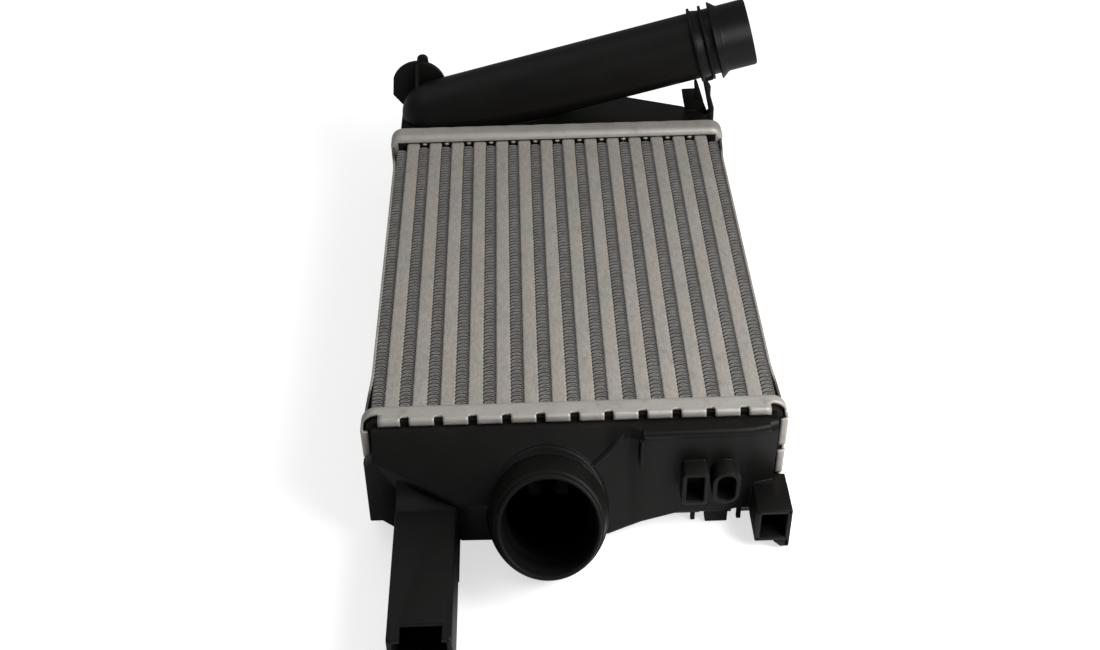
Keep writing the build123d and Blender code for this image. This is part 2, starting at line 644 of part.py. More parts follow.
def strut():
    """Post between the tank and the underside of the spigot collar."""
    lift = (STRUT_FOOT_LEFT - STRUT_LEAN - PIPE_START_X) * tan(radians(PIPE_RISE))
    top_left = PIPE_START_Z + lift - PIPE_BORE / 2 - WALL / 2
    outline = Polygon(
        (STRUT_FOOT_LEFT, 0), (STRUT_FOOT_RIGHT, 0), (STRUT_FOOT_RIGHT, TANK_TOP),
        (STRUT_FOOT_RIGHT - STRUT_LEAN, top_left), (STRUT_FOOT_LEFT - STRUT_LEAN, top_left))
    end = HALF_CORE + FAR_STATIONS[-1][2][0]
    return along_y(outline, end - STRUT_THICKNESS, end)


def clip_bracket():
    y_range = (CLIP_PLATE_Y - CLIP_PLATE_THICKNESS, CLIP_PLATE_Y)
    plate = block((CLIP_PLATE_LEFT, CLIP_PLATE_RIGHT), y_range, (TANK_TOP - WALL, CLIP_PLATE_TOP))
    middle = CLIP_PLATE_Y - CLIP_PLATE_THICKNESS / 2
    finger = Pos(CLIP_PLATE_RIGHT, middle) * Rectangle(CLIP_FINGER_WIDTH, CLIP_FINGER_WIDTH)
    return plate + along_z(finger, TANK_TOP - WALL, CLIP_FINGER_TOP)


def far_tank():
    body = tank_foot(1) + tank_body(FAR_STATIONS, 0.0, 1)
    body += pipe_outside()
    body += locating_pin()
    body += strut() + clip_bracket()
    body -= tank_inside(FAR_STATIONS, 1)
    body -= pipe_inside()
    return body - pipe_window()


def build():
    """All pieces by node name."""
    pieces = {}
    header = header_plate()
    gasket = seal()
    plate = side_plate()
    pieces["far_header"] = header
    pieces["near_header"] = mirror(header, about=Plane.XZ)
    pieces["far_seal"] = gasket
    pieces["near_seal"] = mirror(gasket, about=Plane.XZ)
    pieces["right_side_plate"] = plate
    pieces["left_side_plate"] = mirror(plate, about=Plane.YZ)
    for i in range(TUBE_COUNT):
        x = centre_x(i, TUBE_COUNT)
        pieces[f"tube_{i + 1:02d}"] = tube(x)
        pieces[f"turbulator_{i + 1:02d}"] = turbulator(x)
    columns = TUBE_COUNT + 1
    for i in range(columns):
        gap = OUTER_FIN_END_GAP if i in (0, columns - 1) else FIN_END_GAP
        pieces[f"fin_strip_{i + 1:02d}"] = fin_strip(centre_x(i, columns), gap)
    pieces["near_tank"] = near_tank()
    pieces["far_tank"] = far_tank()
    return pieces


def footprint_middle(pieces):
    """Point in the middle of the part's footprint, at the level of its underside."""
    boxes = [piece.bounding_box() for piece in pieces.values()]
    x = (min(box.min.X for box in boxes) + max(box.max.X for box in boxes)) / 2
    y = (min(box.min.Y for box in boxes) + max(box.max.Y for box in boxes)) / 2
    return Vector(x, y, min(box.min.Z for box in boxes))


os.makedirs("parts", exist_ok=True)
parts = build()
to_origin = Pos(-footprint_middle(parts))
for name, piece in parts.items():
    export_step(to_origin * piece, f"parts/{name}.step")
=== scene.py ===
"""Dresses a charge-air intercooler: flat-tube core, crimped headers, two moulded tanks.

Sizes are millimetres about the middle of the core block, with +X to the right along the
rows of tubes, +Y from the near tank to the far tank and +Z out of the upper core face.
"""
import logging
import math
from dataclasses import dataclass, field
from enum import Enum
from typing import Callable, Iterable, Sequence

import bmesh
import bpy
from mathutils import Matrix, Vector


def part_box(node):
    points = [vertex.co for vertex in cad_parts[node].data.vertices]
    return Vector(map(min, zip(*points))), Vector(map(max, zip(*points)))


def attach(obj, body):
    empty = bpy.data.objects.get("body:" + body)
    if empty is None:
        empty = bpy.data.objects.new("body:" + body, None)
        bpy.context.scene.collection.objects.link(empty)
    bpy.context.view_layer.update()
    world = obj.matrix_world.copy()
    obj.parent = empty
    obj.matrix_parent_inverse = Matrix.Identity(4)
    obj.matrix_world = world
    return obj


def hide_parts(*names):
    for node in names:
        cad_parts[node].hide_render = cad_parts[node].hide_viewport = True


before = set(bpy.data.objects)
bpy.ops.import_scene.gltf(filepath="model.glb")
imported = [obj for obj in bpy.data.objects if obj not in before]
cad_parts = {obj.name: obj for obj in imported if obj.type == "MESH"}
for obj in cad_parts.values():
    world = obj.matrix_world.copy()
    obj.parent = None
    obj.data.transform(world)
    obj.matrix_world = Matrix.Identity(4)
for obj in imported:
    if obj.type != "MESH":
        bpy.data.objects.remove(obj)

LOG = logging.getLogger("intercooler")
MILLIMETRE = 0.001
CORE_HALF = 124.0
BEVEL_KNEE = 0.3
NEARLY_STRAIGHT = 0.02
MOST_OF_HALF = 0.49
LEAST_LEAN = 0.35
TIP = 0.02
Flat = tuple[float, float]
Triple = tuple[float, float, float]
Outline = Sequence[Flat]
Placing = Callable[[float, float, float], Vector]
Socket = bpy.types.NodeSocket


class Side(Enum):
    """The two ends or the two flanks of the core."""

    LOW = -1
    HIGH = 1


class Slot(Enum):
    """Material slots of the part."""

    TUBE = "tube_aluminium"
    FIN = "fin_aluminium"
    HEADER = "header_aluminium"
    SEAL = "seal_rubber"
    TANK = "tank_plastic"


# ------------------------------------------------------------------ flat outlines
def rectangle(left: float, right: float, bottom: float, top: float) -> list[Flat]:
    """Corners of an upright rectangle, anticlockwise."""
    return [(left, bottom), (right, bottom), (right, top), (left, top)]


def rounded(outline: Outline, radius: float | Sequence[float], steps: int) -> list[Flat]:
    """Rounds the corners of a closed outline.

    Args:
        outline: Corners in order.
        radius: One radius for all corners, or one for each.
        steps: Straight pieces in each corner's arc.

    Returns:
        The outline with an arc in place of each corner.
    """
    count = len(outline)
    radii = list(radius) if isinstance(radius, (list, tuple)) else [radius] * count
    result: list[Flat] = []
    for i, corner in enumerate(outline):
        here = Vector(corner)
        before = Vector(outline[i - 1]) - here
        after = Vector(outline[(i + 1) % count]) - here
        bend = before.angle(after)
        if radii[i] <= 0.0 or bend > math.pi - NEARLY_STRAIGHT:
            result.append((here.x, here.y))
            continue
        reach = min(radii[i] / math.tan(bend / 2), MOST_OF_HALF * before.length,
                    MOST_OF_HALF * after.length)
        true_radius = reach * math.tan(bend / 2)
        first = here + before.normalized() * reach
        last = here + after.normalized() * reach
        centre = here + (before.normalized() + after.normalized()).normalized() * (
            true_radius / math.sin(bend / 2))
        start, end = first - centre, last - centre
        turn = start.angle_signed(end)
        for step in range(steps + 1):
            arm = start.copy()
            arm.rotate(Matrix.Rotation(-turn * step / steps, 2))
            result.append((centre.x + arm.x, centre.y + arm.y))
    return result


def inset(outline: Outline, distance: float) -> list[Flat]:
    """Moves every side of an anticlockwise outline inwards.

    Args:
        outline: Corners in order.
        distance: How far the sides move; below 0 they move outwards.

    Returns:
        An outline with as many corners.
    """
    result: list[Flat] = []
    count = len(outline)
    for i in range(count):
        here = Vector(outline[i])
        along = (here - Vector(outline[i - 1])).normalized()
        onward = (Vector(outline[(i + 1) % count]) - here).normalized()
        inward = Vector((-along.y, along.x)) + Vector((-onward.y, onward.x))
        if inward.length < 1e-6:
            result.append((here.x, here.y))
            continue
        inward.normalize()
        lean = max(LEAST_LEAN, inward.dot(Vector((-along.y, along.x))))
        moved = here + inward * (distance / lean)
        result.append((moved.x, moved.y))
    return result


def circle(radius: float, steps: int, stretch: float = 1.0) -> list[Flat]:
    """Points round a circle, or round an ellipse that is stretched along its second axis."""
    turns = [2 * math.pi * i / steps for i in range(steps)]
    return [(radius * math.cos(t), radius * stretch * math.sin(t)) for t in turns]


def blend_between(low: float, high: float, share: float) -> float:
    """Value at a share of the way from low to high."""
    return low + (high - low) * share


def ease(share: float) -> float:
    """Share that starts and ends its travel gently."""
    return share * share * (3 - 2 * share)


# ------------------------------------------------------------------------- shapes
@dataclass
class Shape:
    """Points and faces of a piece while it is being built, in millimetres."""

    points: list[Vector] = field(default_factory=list)
    faces: list[tuple[int, ...]] = field(default_factory=list)

    def grid(self, rows: Sequence[Sequence[Vector]], round_row: bool = True,
             round_rows: bool = False, caps: bool = False) -> None:
        """Adds a net of quadrilaterals.

        Args:
            rows: Rows of points, all of one length.
            round_row: Whether each row closes on itself.
            round_rows: Whether the last row joins the first.
            caps: Whether the first and last rows are filled with a face.
        """
        base = len(self.points)
        width = len(rows[0])
        for row in rows:
            self.points.extend(row)
        spans = len(rows) if round_rows else len(rows) - 1
        steps = width if round_row else width - 1
        for r in range(spans):
            low = base + r * width
            high = base + ((r + 1) % len(rows)) * width
            for c in range(steps):
                d = (c + 1) % width
                self.faces.append((low + c, low + d, high + d, high + c))
        if caps:
            self.faces.append(tuple(base + c for c in reversed(range(width))))
            last = base + (len(rows) - 1) * width
            self.faces.append(tuple(last + c for c in range(width)))

    def slab(self, outline: Outline, start: float, end: float, place: Placing, edge: float) -> None:
        """Adds a prism with softened rims.

        Args:
            outline: Anticlockwise outline of the prism.
            start: Level of its first face.
            end: Level of its last face.
            place: Turns two outline values and a level into a point.
            edge: Width of the bevel round both faces.
        """
        soft = edge * BEVEL_KNEE
        levels = [(start, edge), (start + soft, soft), (start + edge, 0.0),
                  (end - edge, 0.0), (end - soft, soft), (end, edge)]
        rows = [[place(u, v, level) for u, v in inset(outline, cut)] for level, cut in levels]
        self.grid(rows, caps=True)

    def ring(self, outer: Outline, inner: Outline, start: float, end: float, place: Placing) -> None:
        """Adds a prism with a hole right through it.

        Args:
            outer: Outline of the prism.
            inner: Outline of the hole, with as many corners.
            start: Level of its first face.
            end: Level of its last face.
            place: Turns two outline values and a level into a point.
        """
        rows = [[place(u, v, level) for u, v in outline]
                for outline, level in ((outer, start), (outer, end), (inner, end), (inner, start))]
        self.grid(rows, round_rows=True)

    def lathe(self, profile: Outline, place: Placing, steps: int, closed: bool = True) -> None:
        """Adds a turned form.

        Args:
            profile: Pairs of radius and level along the turned outline.
            place: Turns two values across the axis and a level along it into a point.
            steps: Straight pieces round the form.
            closed: Whether the profile closes on itself; otherwise its ends are filled.
        """
        rows = [[place(u, v, level) for u, v in circle(radius, steps)] for radius, level in profile]
        self.grid(rows, round_rows=closed, caps=not closed)

    def cord(self, path: Sequence[Vector], radius: float, sides: int = 10) -> None:
        """Adds a round bar with its ends closed.

        Args:
            path: Points along its middle.
            radius: Radius of the bar.
            sides: Straight pieces round it.
        """
        rows = []
        for i, point in enumerate(path):
            ahead = path[min(i + 1, len(path) - 1)] - path[max(i - 1, 0)]
            across = ahead.cross(Vector((0.0, 0.3, 1.0))).normalized()
            up = across.cross(ahead).normalized()
            rows.append([point + across * u + up * v for u, v in circle(radius, sides)])
        self.grid(rows, caps=True)

    def mirrored(self, axis: int) -> "Shape":
        """Reflects the shape through the middle of the core.

        Args:
            axis: Number of the axis that changes its sign.

        Returns:
            A new shape, with its faces still turned outwards.
        """
        points = [point.copy() for point in self.points]
        for point in points:
            point[axis] = -point[axis]
        return Shape(points, [tuple(reversed(face)) for face in self.faces])


def across_y(u: float, v: float, level: float) -> Vector:
    """Places an X-Z outline at a Y level."""
    return Vector((u, level, v))


def across_x(u: float, v: float, level: float) -> Vector:
    """Places a Y-Z outline at an X level."""
    return Vector((level, u, v))


def across_z(u: float, v: float, level: float) -> Vector:
    """Places an X-Y outline at a Z level."""
    return Vector((u, v, level))


def tilted(origin: Sequence[float], across: Sequence[float], axis: Sequence[float]) -> Placing:
    """Makes a placing on a tilted plane.

    Args:
        origin: Point that the values are counted from.
        across: Direction of the first value.
        axis: Direction of the level, square to the plane.

    Returns:
        The placing.
    """
    first = Vector(across).normalized()
    out = Vector(axis).normalized()
    second = out.cross(first)
    start = Vector(origin)

    def place(u: float, v: float, level: float) -> Vector:
        """Places two values across the axis and a level along it."""
        return start + first * u + second * v + out * level

    return place


# ----------------------------------------------------------------------- workshop
@dataclass
class Workshop:
    """Turns shapes into pieces that ride on the part."""

    origin: Vector
    made: list[str] = field(default_factory=list)

    @classmethod
    def about_core(cls) -> "Workshop":
        """Finds the middle of the core block.

        Returns:
            A workshop whose shapes are drawn about that point.
        """
        corners = [corner for node in ("near_header", "far_header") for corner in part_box(node)]
        low = Vector([min(corner[axis] for corner in corners) for axis in range(3)])
        high = Vector([max(corner[axis] for corner in corners) for axis in range(3)])
        return cls((low + high) / 2)

    def mesh(self, name: str, shape: Shape) -> bpy.types.Mesh:
        """Makes the mesh of a shape.

        Args:
            name: Name of the mesh.
            shape: Its points and faces, in millimetres.

        Returns:
            The mesh, in metres, with its faces turned outwards.
        """
        data = bpy.data.meshes.new(name)
        corners = [self.origin + point * MILLIMETRE for point in shape.points]
        data.from_pydata(corners, [], shape.faces)
        form = bmesh.new()
        form.from_mesh(data)
        bmesh.ops.remove_doubles(form, verts=form.verts, dist=1e-6)
        bmesh.ops.recalc_face_normals(form, faces=form.faces)
        form.to_mesh(data)
        form.free()
        return data

    def thing(self, name: str, shape: Shape) -> bpy.types.Object:
        """Makes a plain object of a shape.

        Args:
            name: Name of the object.
            shape: Its points and faces, in millimetres.

        Returns:
            The object, linked to the scene.
        """
        item = bpy.data.objects.new(name, self.mesh(name, shape))
        bpy.context.scene.collection.objects.link(item)
        return item

    def carve(self, target: bpy.types.Object, cutter: bpy.types.Object) -> None:
        """Cuts one object out of another.

        Args:
            target: The object that is cut.
            cutter: The object whose volume is taken out; it is then removed.
        """
        cut = target.modifiers.new("cut", "BOOLEAN")
        cut.operation = "DIFFERENCE"
        cut.solver = "EXACT"
        cut.object = cutter
        bpy.context.view_layer.update()
        seen = target.evaluated_get(bpy.context.evaluated_depsgraph_get())
        target.data = bpy.data.meshes.new_from_object(seen)
        target.modifiers.clear()
        bpy.data.objects.remove(cutter)

    def trim(self, target: bpy.types.Object, point: Vector, outward: Vector) -> None:
        """Cuts away what lies beyond a plane and closes the cut.

        Args:
            target: The object that is cut.
            point: A point of the plane, in millimetres about the core.
            outward: Direction of what is cut away.
        """
        form = bmesh.new()
        form.from_mesh(target.data)
        every = form.verts[:] + form.edges[:] + form.faces[:]
        cut = bmesh.ops.bisect_plane(
            form, geom=every, plane_co=self.origin + point * MILLIMETRE, plane_no=outward,
            clear_outer=True)
        edges = [part for part in cut["geom_cut"] if isinstance(part, bmesh.types.BMEdge)]
        bmesh.ops.triangle_fill(form, edges=edges, use_beauty=True)
        form.to_mesh(target.data)
        form.free()

    def join(self, target: bpy.types.Object, others: Iterable[bpy.types.Object]) -> None:
        """Brings several meshes into one object.

        Args:
            target: The object that keeps them all.
            others: The objects that are added to it and then removed.
        """
        form = bmesh.new()
        form.from_mesh(target.data)
        for other in others:
            form.from_mesh(other.data)
            bpy.data.objects.remove(other)
        form.to_mesh(target.data)
        form.free()

    def present(self, item: bpy.types.Object, nodes: Sequence[str], slot: Slot,
                material: bpy.types.Material, crease: float = 35.0) -> None:
        """Finishes a piece: soft shading, material, body and the nodes it stands for.

        Args:
            item: The piece, already in place.
            nodes: Nodes of the part that it replaces.
            slot: Material slot of the part; not used.
            material: Finish of its surface.
            crease: Angle in degrees above which an edge stays sharp.
        """
        item.data.materials.clear()
        item.data.materials.append(material)
        item.data.polygons.foreach_set("use_smooth", [True] * len(item.data.polygons))
        item.data.set_sharp_from_angle(angle=math.radians(crease))
        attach(item, "root")
        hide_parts(*nodes)
        self.made.append(item.name)
        LOG.info("%s: %d faces for %s", item.name, len(item.data.polygons), ", ".join(nodes))


# ----------------------------------------------------------------------- finishes
@dataclass
class Nodes:
    """Node tree of one material, with short calls to fill it."""

    name: str

    def __post_init__(self) -> None:
        """Starts an empty tree with its output."""
        self.material = bpy.data.materials.new(self.name)
        self.material.use_nodes = True
        self.tree = self.material.node_tree
        self.tree.nodes.clear()
        self.output = self.add("ShaderNodeOutputMaterial")
        self.place = self.add("ShaderNodeNewGeometry").outputs["Position"]

    def add(self, kind: str, **settings: object) -> bpy.types.Node:
        """Adds a node.

        Args:
            kind: Blender's name of the kind of node.
            settings: Values of the node's own settings.

        Returns:
            The node.
        """
        node = self.tree.nodes.new(kind)
        for name, value in settings.items():
            setattr(node, name, value)
        return node

    def feed(self, target: Socket, value: object) -> None:
        """Joins an output to an input, or gives the input a value of its own.

        Args:
            target: The input.
            value: An output, a number or a row of numbers.
        """
        if isinstance(value, Socket):
            self.tree.links.new(value, target)
        else:
            target.default_value = value

    def noise(self, scale: Triple, detail: float = 3.0, rough: float = 0.5) -> Socket:
        """Adds a cloudy pattern that is fixed to the part.

        Args:
            scale: Scale along each axis; a higher one gives smaller clouds.
            detail: Layers of finer clouds.
            rough: Weight of the finer clouds.

        Returns:
            A value from 0 to 1.
        """
        mapping = self.add("ShaderNodeMapping")
        self.feed(mapping.inputs["Vector"], self.place)
        self.feed(mapping.inputs["Scale"], scale)
        node = self.add("ShaderNodeTexNoise")
        for name, value in (("Vector", mapping.outputs["Vector"]), ("Scale", 1.0), ("Detail", detail),
                            ("Roughness", rough)):
            self.feed(node.inputs[name], value)
        return node.outputs["Fac"]

    def ramp(self, value: Socket, low: float, high: float, to_low: float = 0.0,
             to_high: float = 1.0) -> Socket:
        """Stretches a value from one range to another, and holds it there.

        Args:
            value: The value.
            low: Start of its own range.
            high: End of its own range.
            to_low: What the start becomes.
            to_high: What the end becomes.

        Returns:
            The new value.
        """
        node = self.add("ShaderNodeMapRange")
        for name, number in (("Value", value), ("From Min", low), ("From Max", high), ("To Min", to_low),
                             ("To Max", to_high)):
            self.feed(node.inputs[name], number)
        return node.outputs["Result"]

    def mix(self, share: Socket | float, first: Socket | Triple, second: Socket | Triple,
            mode: str = "MIX") -> Socket:
        """Mixes two colours.

        Args:
            share: Share of the second colour.
            first: The colour at 0.
            second: The colour at 1.
            mode: Blender's name of the way they mix.

        Returns:
            The mixed colour.
        """
        node = self.add("ShaderNodeMix", data_type="RGBA", blend_type=mode)
        self.feed(node.inputs["Factor"], share)
        for name, colour in (("A", first), ("B", second)):
            socket = next(s for s in node.inputs if s.name == name and s.type == "RGBA")
            self.feed(socket, colour if isinstance(colour, Socket) else (*colour, 1.0))
        return next(s for s in node.outputs if s.type == "RGBA")

    def math(self, operation: str, first: Socket | float, second: Socket | float) -> Socket:
        """Works out a sum, a product or another operation on two values.

        Args:
            operation: Blender's name of the operation.
            first: First value.
            second: Second value.

        Returns:
            The result.
        """
        node = self.add("ShaderNodeMath", operation=operation)
        for index, value in enumerate((first, second)):
            self.feed(node.inputs[index], value)
        return node.outputs["Value"]

    def product(self, first: Socket | float, second: Socket | float) -> Socket:
        """Product of two values."""
        return self.math("MULTIPLY", first, second)

    def absolute(self, value: Socket) -> Socket:
        """Value without its sign."""
        return self.math("ABSOLUTE", value, 0.0)

    def vector(self, operation: str, first: Socket | Vector, second: Socket | Vector) -> bpy.types.Node:
        """Works out an operation on two vectors.

        Args:
            operation: Blender's name of the operation.
            first: First vector.
            second: Second vector.

        Returns:
            The node, whose outputs hold the result as a vector or as a value.
        """
        node = self.add("ShaderNodeVectorMath", operation=operation)
        for index, value in enumerate((first, second)):
            self.feed(node.inputs[index], value)
        return node

    def grey(self, value: Socket) -> Socket:
        """Grey of a value.

        Args:
            value: How light the grey is.

        Returns:
            The colour.
        """
        node = self.add("ShaderNodeCombineColor")
        for channel in ("Red", "Green", "Blue"):
            self.feed(node.inputs[channel], value)
        return node.outputs["Color"]

    def bump(self, height: Socket, distance: float, strength: float, base: Socket | None = None) -> Socket:
        """Lays a height over the surface.

        Args:
            height: The height, as a value from 0 to 1.
            distance: What a height of 1 measures, in metres.
            strength: Share of the height that is felt.
            base: Normal that it is laid on, where it isn't the plain surface.

        Returns:
            The new normal.
        """
        node = self.add("ShaderNodeBump")
        for name, value in (("Distance", distance), ("Strength", strength), ("Height", height)):
            self.feed(node.inputs[name], value)
        if base is not None:
            self.feed(node.inputs["Normal"], base)
        return node.outputs["Normal"]

    def shader(self, metallic: float, roughness: Socket | float, colour: Socket,
               normal: Socket | None) -> bpy.types.Node:
        """Adds the surface shader and joins it to the output.

        Args:
            metallic: How metallic the surface is.
            roughness: How dull it is.
            colour: Its colour.
            normal: Its normal, where it isn't the plain surface.

        Returns:
            The shader's node.
        """
        node = self.add("ShaderNodeBsdfPrincipled")
        for name, value in (("Metallic", metallic), ("Roughness", roughness), ("Base Color", colour)):
            self.feed(node.inputs[name], value)
        if normal is not None:
            self.feed(node.inputs["Normal"], normal)
        self.feed(self.output.inputs["Surface"], node.outputs["BSDF"])
        return node


@dataclass(frozen=True)
class Aluminium:
    """Brazed sheet aluminium with drawing streaks, faint tints and small stains.

    Lengths are metres about the middle of the core, as everywhere in the finishes.
    """

    name: str
    colour: Triple
    tint: Triple
    stain: Triple
    metallic: float = 0.30
    roughness: float = 0.50
    streaks: Triple = (900.0, 14.0, 900.0)
    streak_depth: float = 0.10
    stain_amount: float = 0.25
    clouds: Triple = (85.0, 48.0, 85.0)
    patches: Triple = (120.0, 80.0, 120.0)
    bump_depth: float = 0.00006
    # Painted contact shadow: a dark band on the tubes just before they meet the header floor.
    joint_shadow_band: Flat = (0.1222, 0.1239)
    joint_shadow_strength: float = 0.0
    joint_shadow_colour: Triple = (0.05, 0.045, 0.04)
    # Painted depth shade: nearer the middle plane than these distances, the colour darkens towards the deep
    # colour.
    shaded: Flat = (0.0306, 0.0318)
    depth_shade: float = 0.0
    depth_shade_colour: Triple = (0.02, 0.018, 0.016)
    # Painted shade: past these limits, inside the tanks and the header's pockets, the colour is nearly
    # black and the surface duller.
    inner_shade_start: float = 0.1246
    inner_shade_edge: Flat = (0.0006, 0.0004)
    inside: Flat = (0.0990, 0.0322)
    inner_shade_colour: Triple = (0.0015, 0.0013, 0.0012)
    inner_dulls: float = 0.4

    def make(self, middle: Vector) -> bpy.types.Material:
        """Builds the material.

        Args:
            middle: Middle of the core, in metres.

        Returns:
            The material, with painted near-black shade and more roughness inside the tanks, painted shade
            deep between the fins and at the tubes' edges, and a painted contact shadow where the tubes meet
            the header.
        """
        nodes = Nodes(self.name)
        cloud = nodes.ramp(nodes.noise(self.clouds, 4.0, 0.6), 0.38, 0.62)
        colour = nodes.mix(cloud, self.colour, self.tint)
        patch = nodes.ramp(nodes.noise(self.patches, 5.0, 0.65), 0.57, 0.70)
        colour = nodes.mix(nodes.product(patch, self.stain_amount), colour, self.stain)
        split = nodes.add("ShaderNodeSeparateXYZ")
        nodes.feed(split.inputs["Vector"], nodes.vector("SUBTRACT", nodes.place, middle).outputs["Vector"])
        across, along, rise = (nodes.absolute(split.outputs[axis]) for axis in "XYZ")
        # Painted contact shadow where the tubes meet the header.
        colour = nodes.mix(nodes.ramp(along, *self.joint_shadow_band, 0.0, self.joint_shadow_strength), colour, self.joint_shadow_colour)
        # Painted shade that deepens into the core, with the fins' painted fold shade added in shadow().
        deep = nodes.ramp(rise, *self.shaded, self.depth_shade, 0.0)
        colour = nodes.mix(self.shadow(nodes, split, deep), colour, self.depth_shade_colour)
        streak = nodes.noise(self.streaks, 2.0, 0.6)
        shade = nodes.ramp(streak, 0.3, 0.7, 1.0 - self.streak_depth, 1.0 + self.streak_depth)
        colour = nodes.mix(1.0, colour, nodes.grey(shade), "MULTIPLY")
        # Painted near-black shade inside the tanks and the header's pockets; the roughness rises there too.
        inner_shade = nodes.ramp(along, self.inner_shade_start, self.inner_shade_start + self.inner_shade_edge[0])
        for value, limit, edge in zip((across, rise), self.inside, self.inner_shade_edge):
            inner_shade = nodes.product(inner_shade, nodes.ramp(value, limit, limit - edge))
        colour = nodes.mix(inner_shade, colour, self.inner_shade_colour)
        rough = nodes.ramp(nodes.noise((60.0, 30.0, 60.0), 4.0, 0.6), 0.3, 0.7,
                           self.roughness - 0.06, self.roughness + 0.08)
        rough = nodes.math("ADD", rough, nodes.product(inner_shade, self.inner_dulls))
        normal = nodes.bump(nodes.noise((260.0, 120.0, 260.0), 3.0, 0.55), self.bump_depth, 0.6)
        normal = nodes.bump(streak, self.bump_depth * 0.4, 0.35, normal)
        nodes.shader(self.metallic, rough, colour, normal)
        return nodes.material

    def shadow(self, nodes: Nodes, split: bpy.types.Node, deep: Socket) -> Socket:
        """Share of shadow on the surface, here the shade that its depth gives."""
        return deep


@dataclass(frozen=True)
class FoldedAluminium(Aluminium):
    """Fin sheet with painted shade in the gaps between its legs and painted dark wedges where its folds
    open against the tubes.
    """

    column_pitch: float = 0.014
    column_shift: float = 40.5
    half_column: float = 0.003
    fold_pitch: float = 0.0028
    fold_shift: float = 105.0
    bow: float = 0.0012
    gap: Flat = (0.06, 0.34)
    gap_fades: tuple[float, float, float, float] = (-0.002, 0.003, 1.0, 0.75)
    wedges: tuple[Triple, Triple] = ((-0.0008, -0.0032, 0.0), (0.0012, 0.0032, 0.5))
    wedge_width: float = 0.27
    wedge_rim: Flat = (-0.02, 0.06)
    wedge_shade: float = 0.95

    def in_fold(self, nodes: Nodes, phase: Socket, shift: float) -> Socket:
        """Distance to the middle of a fold as a share of its pitch, with the folds shifted."""
        shifted = nodes.math("MODULO", nodes.math("ADD", phase, shift), 1.0)
        return nodes.absolute(nodes.math("SUBTRACT", shifted, 0.5))

    def shadow(self, nodes: Nodes, split: bpy.types.Node, deep: Socket) -> Socket:
        """Works out the share of shadow, once a fold at the left and half a fold on at the right.

        Args:
            nodes: Node tree of the material.
            split: Node whose outputs are the place about the core along each axis.
            deep: Shade that the depth gives.

        Returns:
            The depth's painted shade, with the painted shade of the fold gaps and the painted dark wedges
            at their ends.
        """
        shifted = nodes.math("ADD", split.outputs["X"], self.column_shift * self.column_pitch)
        across = nodes.math("SUBTRACT", nodes.math("MODULO", shifted, self.column_pitch),
                            self.column_pitch / 2)
        arch = nodes.product(nodes.product(across, across), self.bow / self.half_column ** 2)
        along = nodes.math("ADD", nodes.math("ADD", split.outputs["Y"], arch),
                           self.fold_shift * self.fold_pitch)
        phase = nodes.math("DIVIDE", nodes.math("SUBTRACT", along, self.bow / 2), self.fold_pitch)
        # Painted shade in the gaps between the legs, and painted dark wedges at the folds' open ends.
        gap = nodes.ramp(self.in_fold(nodes, phase, 0.0), *self.gap, 1.0, 0.0)
        total = nodes.math("MAXIMUM", deep, nodes.product(gap, nodes.ramp(across, *self.gap_fades)))
        for start, end, shift in self.wedges:
            reach = nodes.ramp(across, start, end, 0.0, self.wedge_width)
            wedge = nodes.math("SUBTRACT", reach, self.in_fold(nodes, phase, shift))
            total = nodes.math("MAXIMUM", total, nodes.ramp(wedge, *self.wedge_rim, 0.0, self.wedge_shade))
        return total


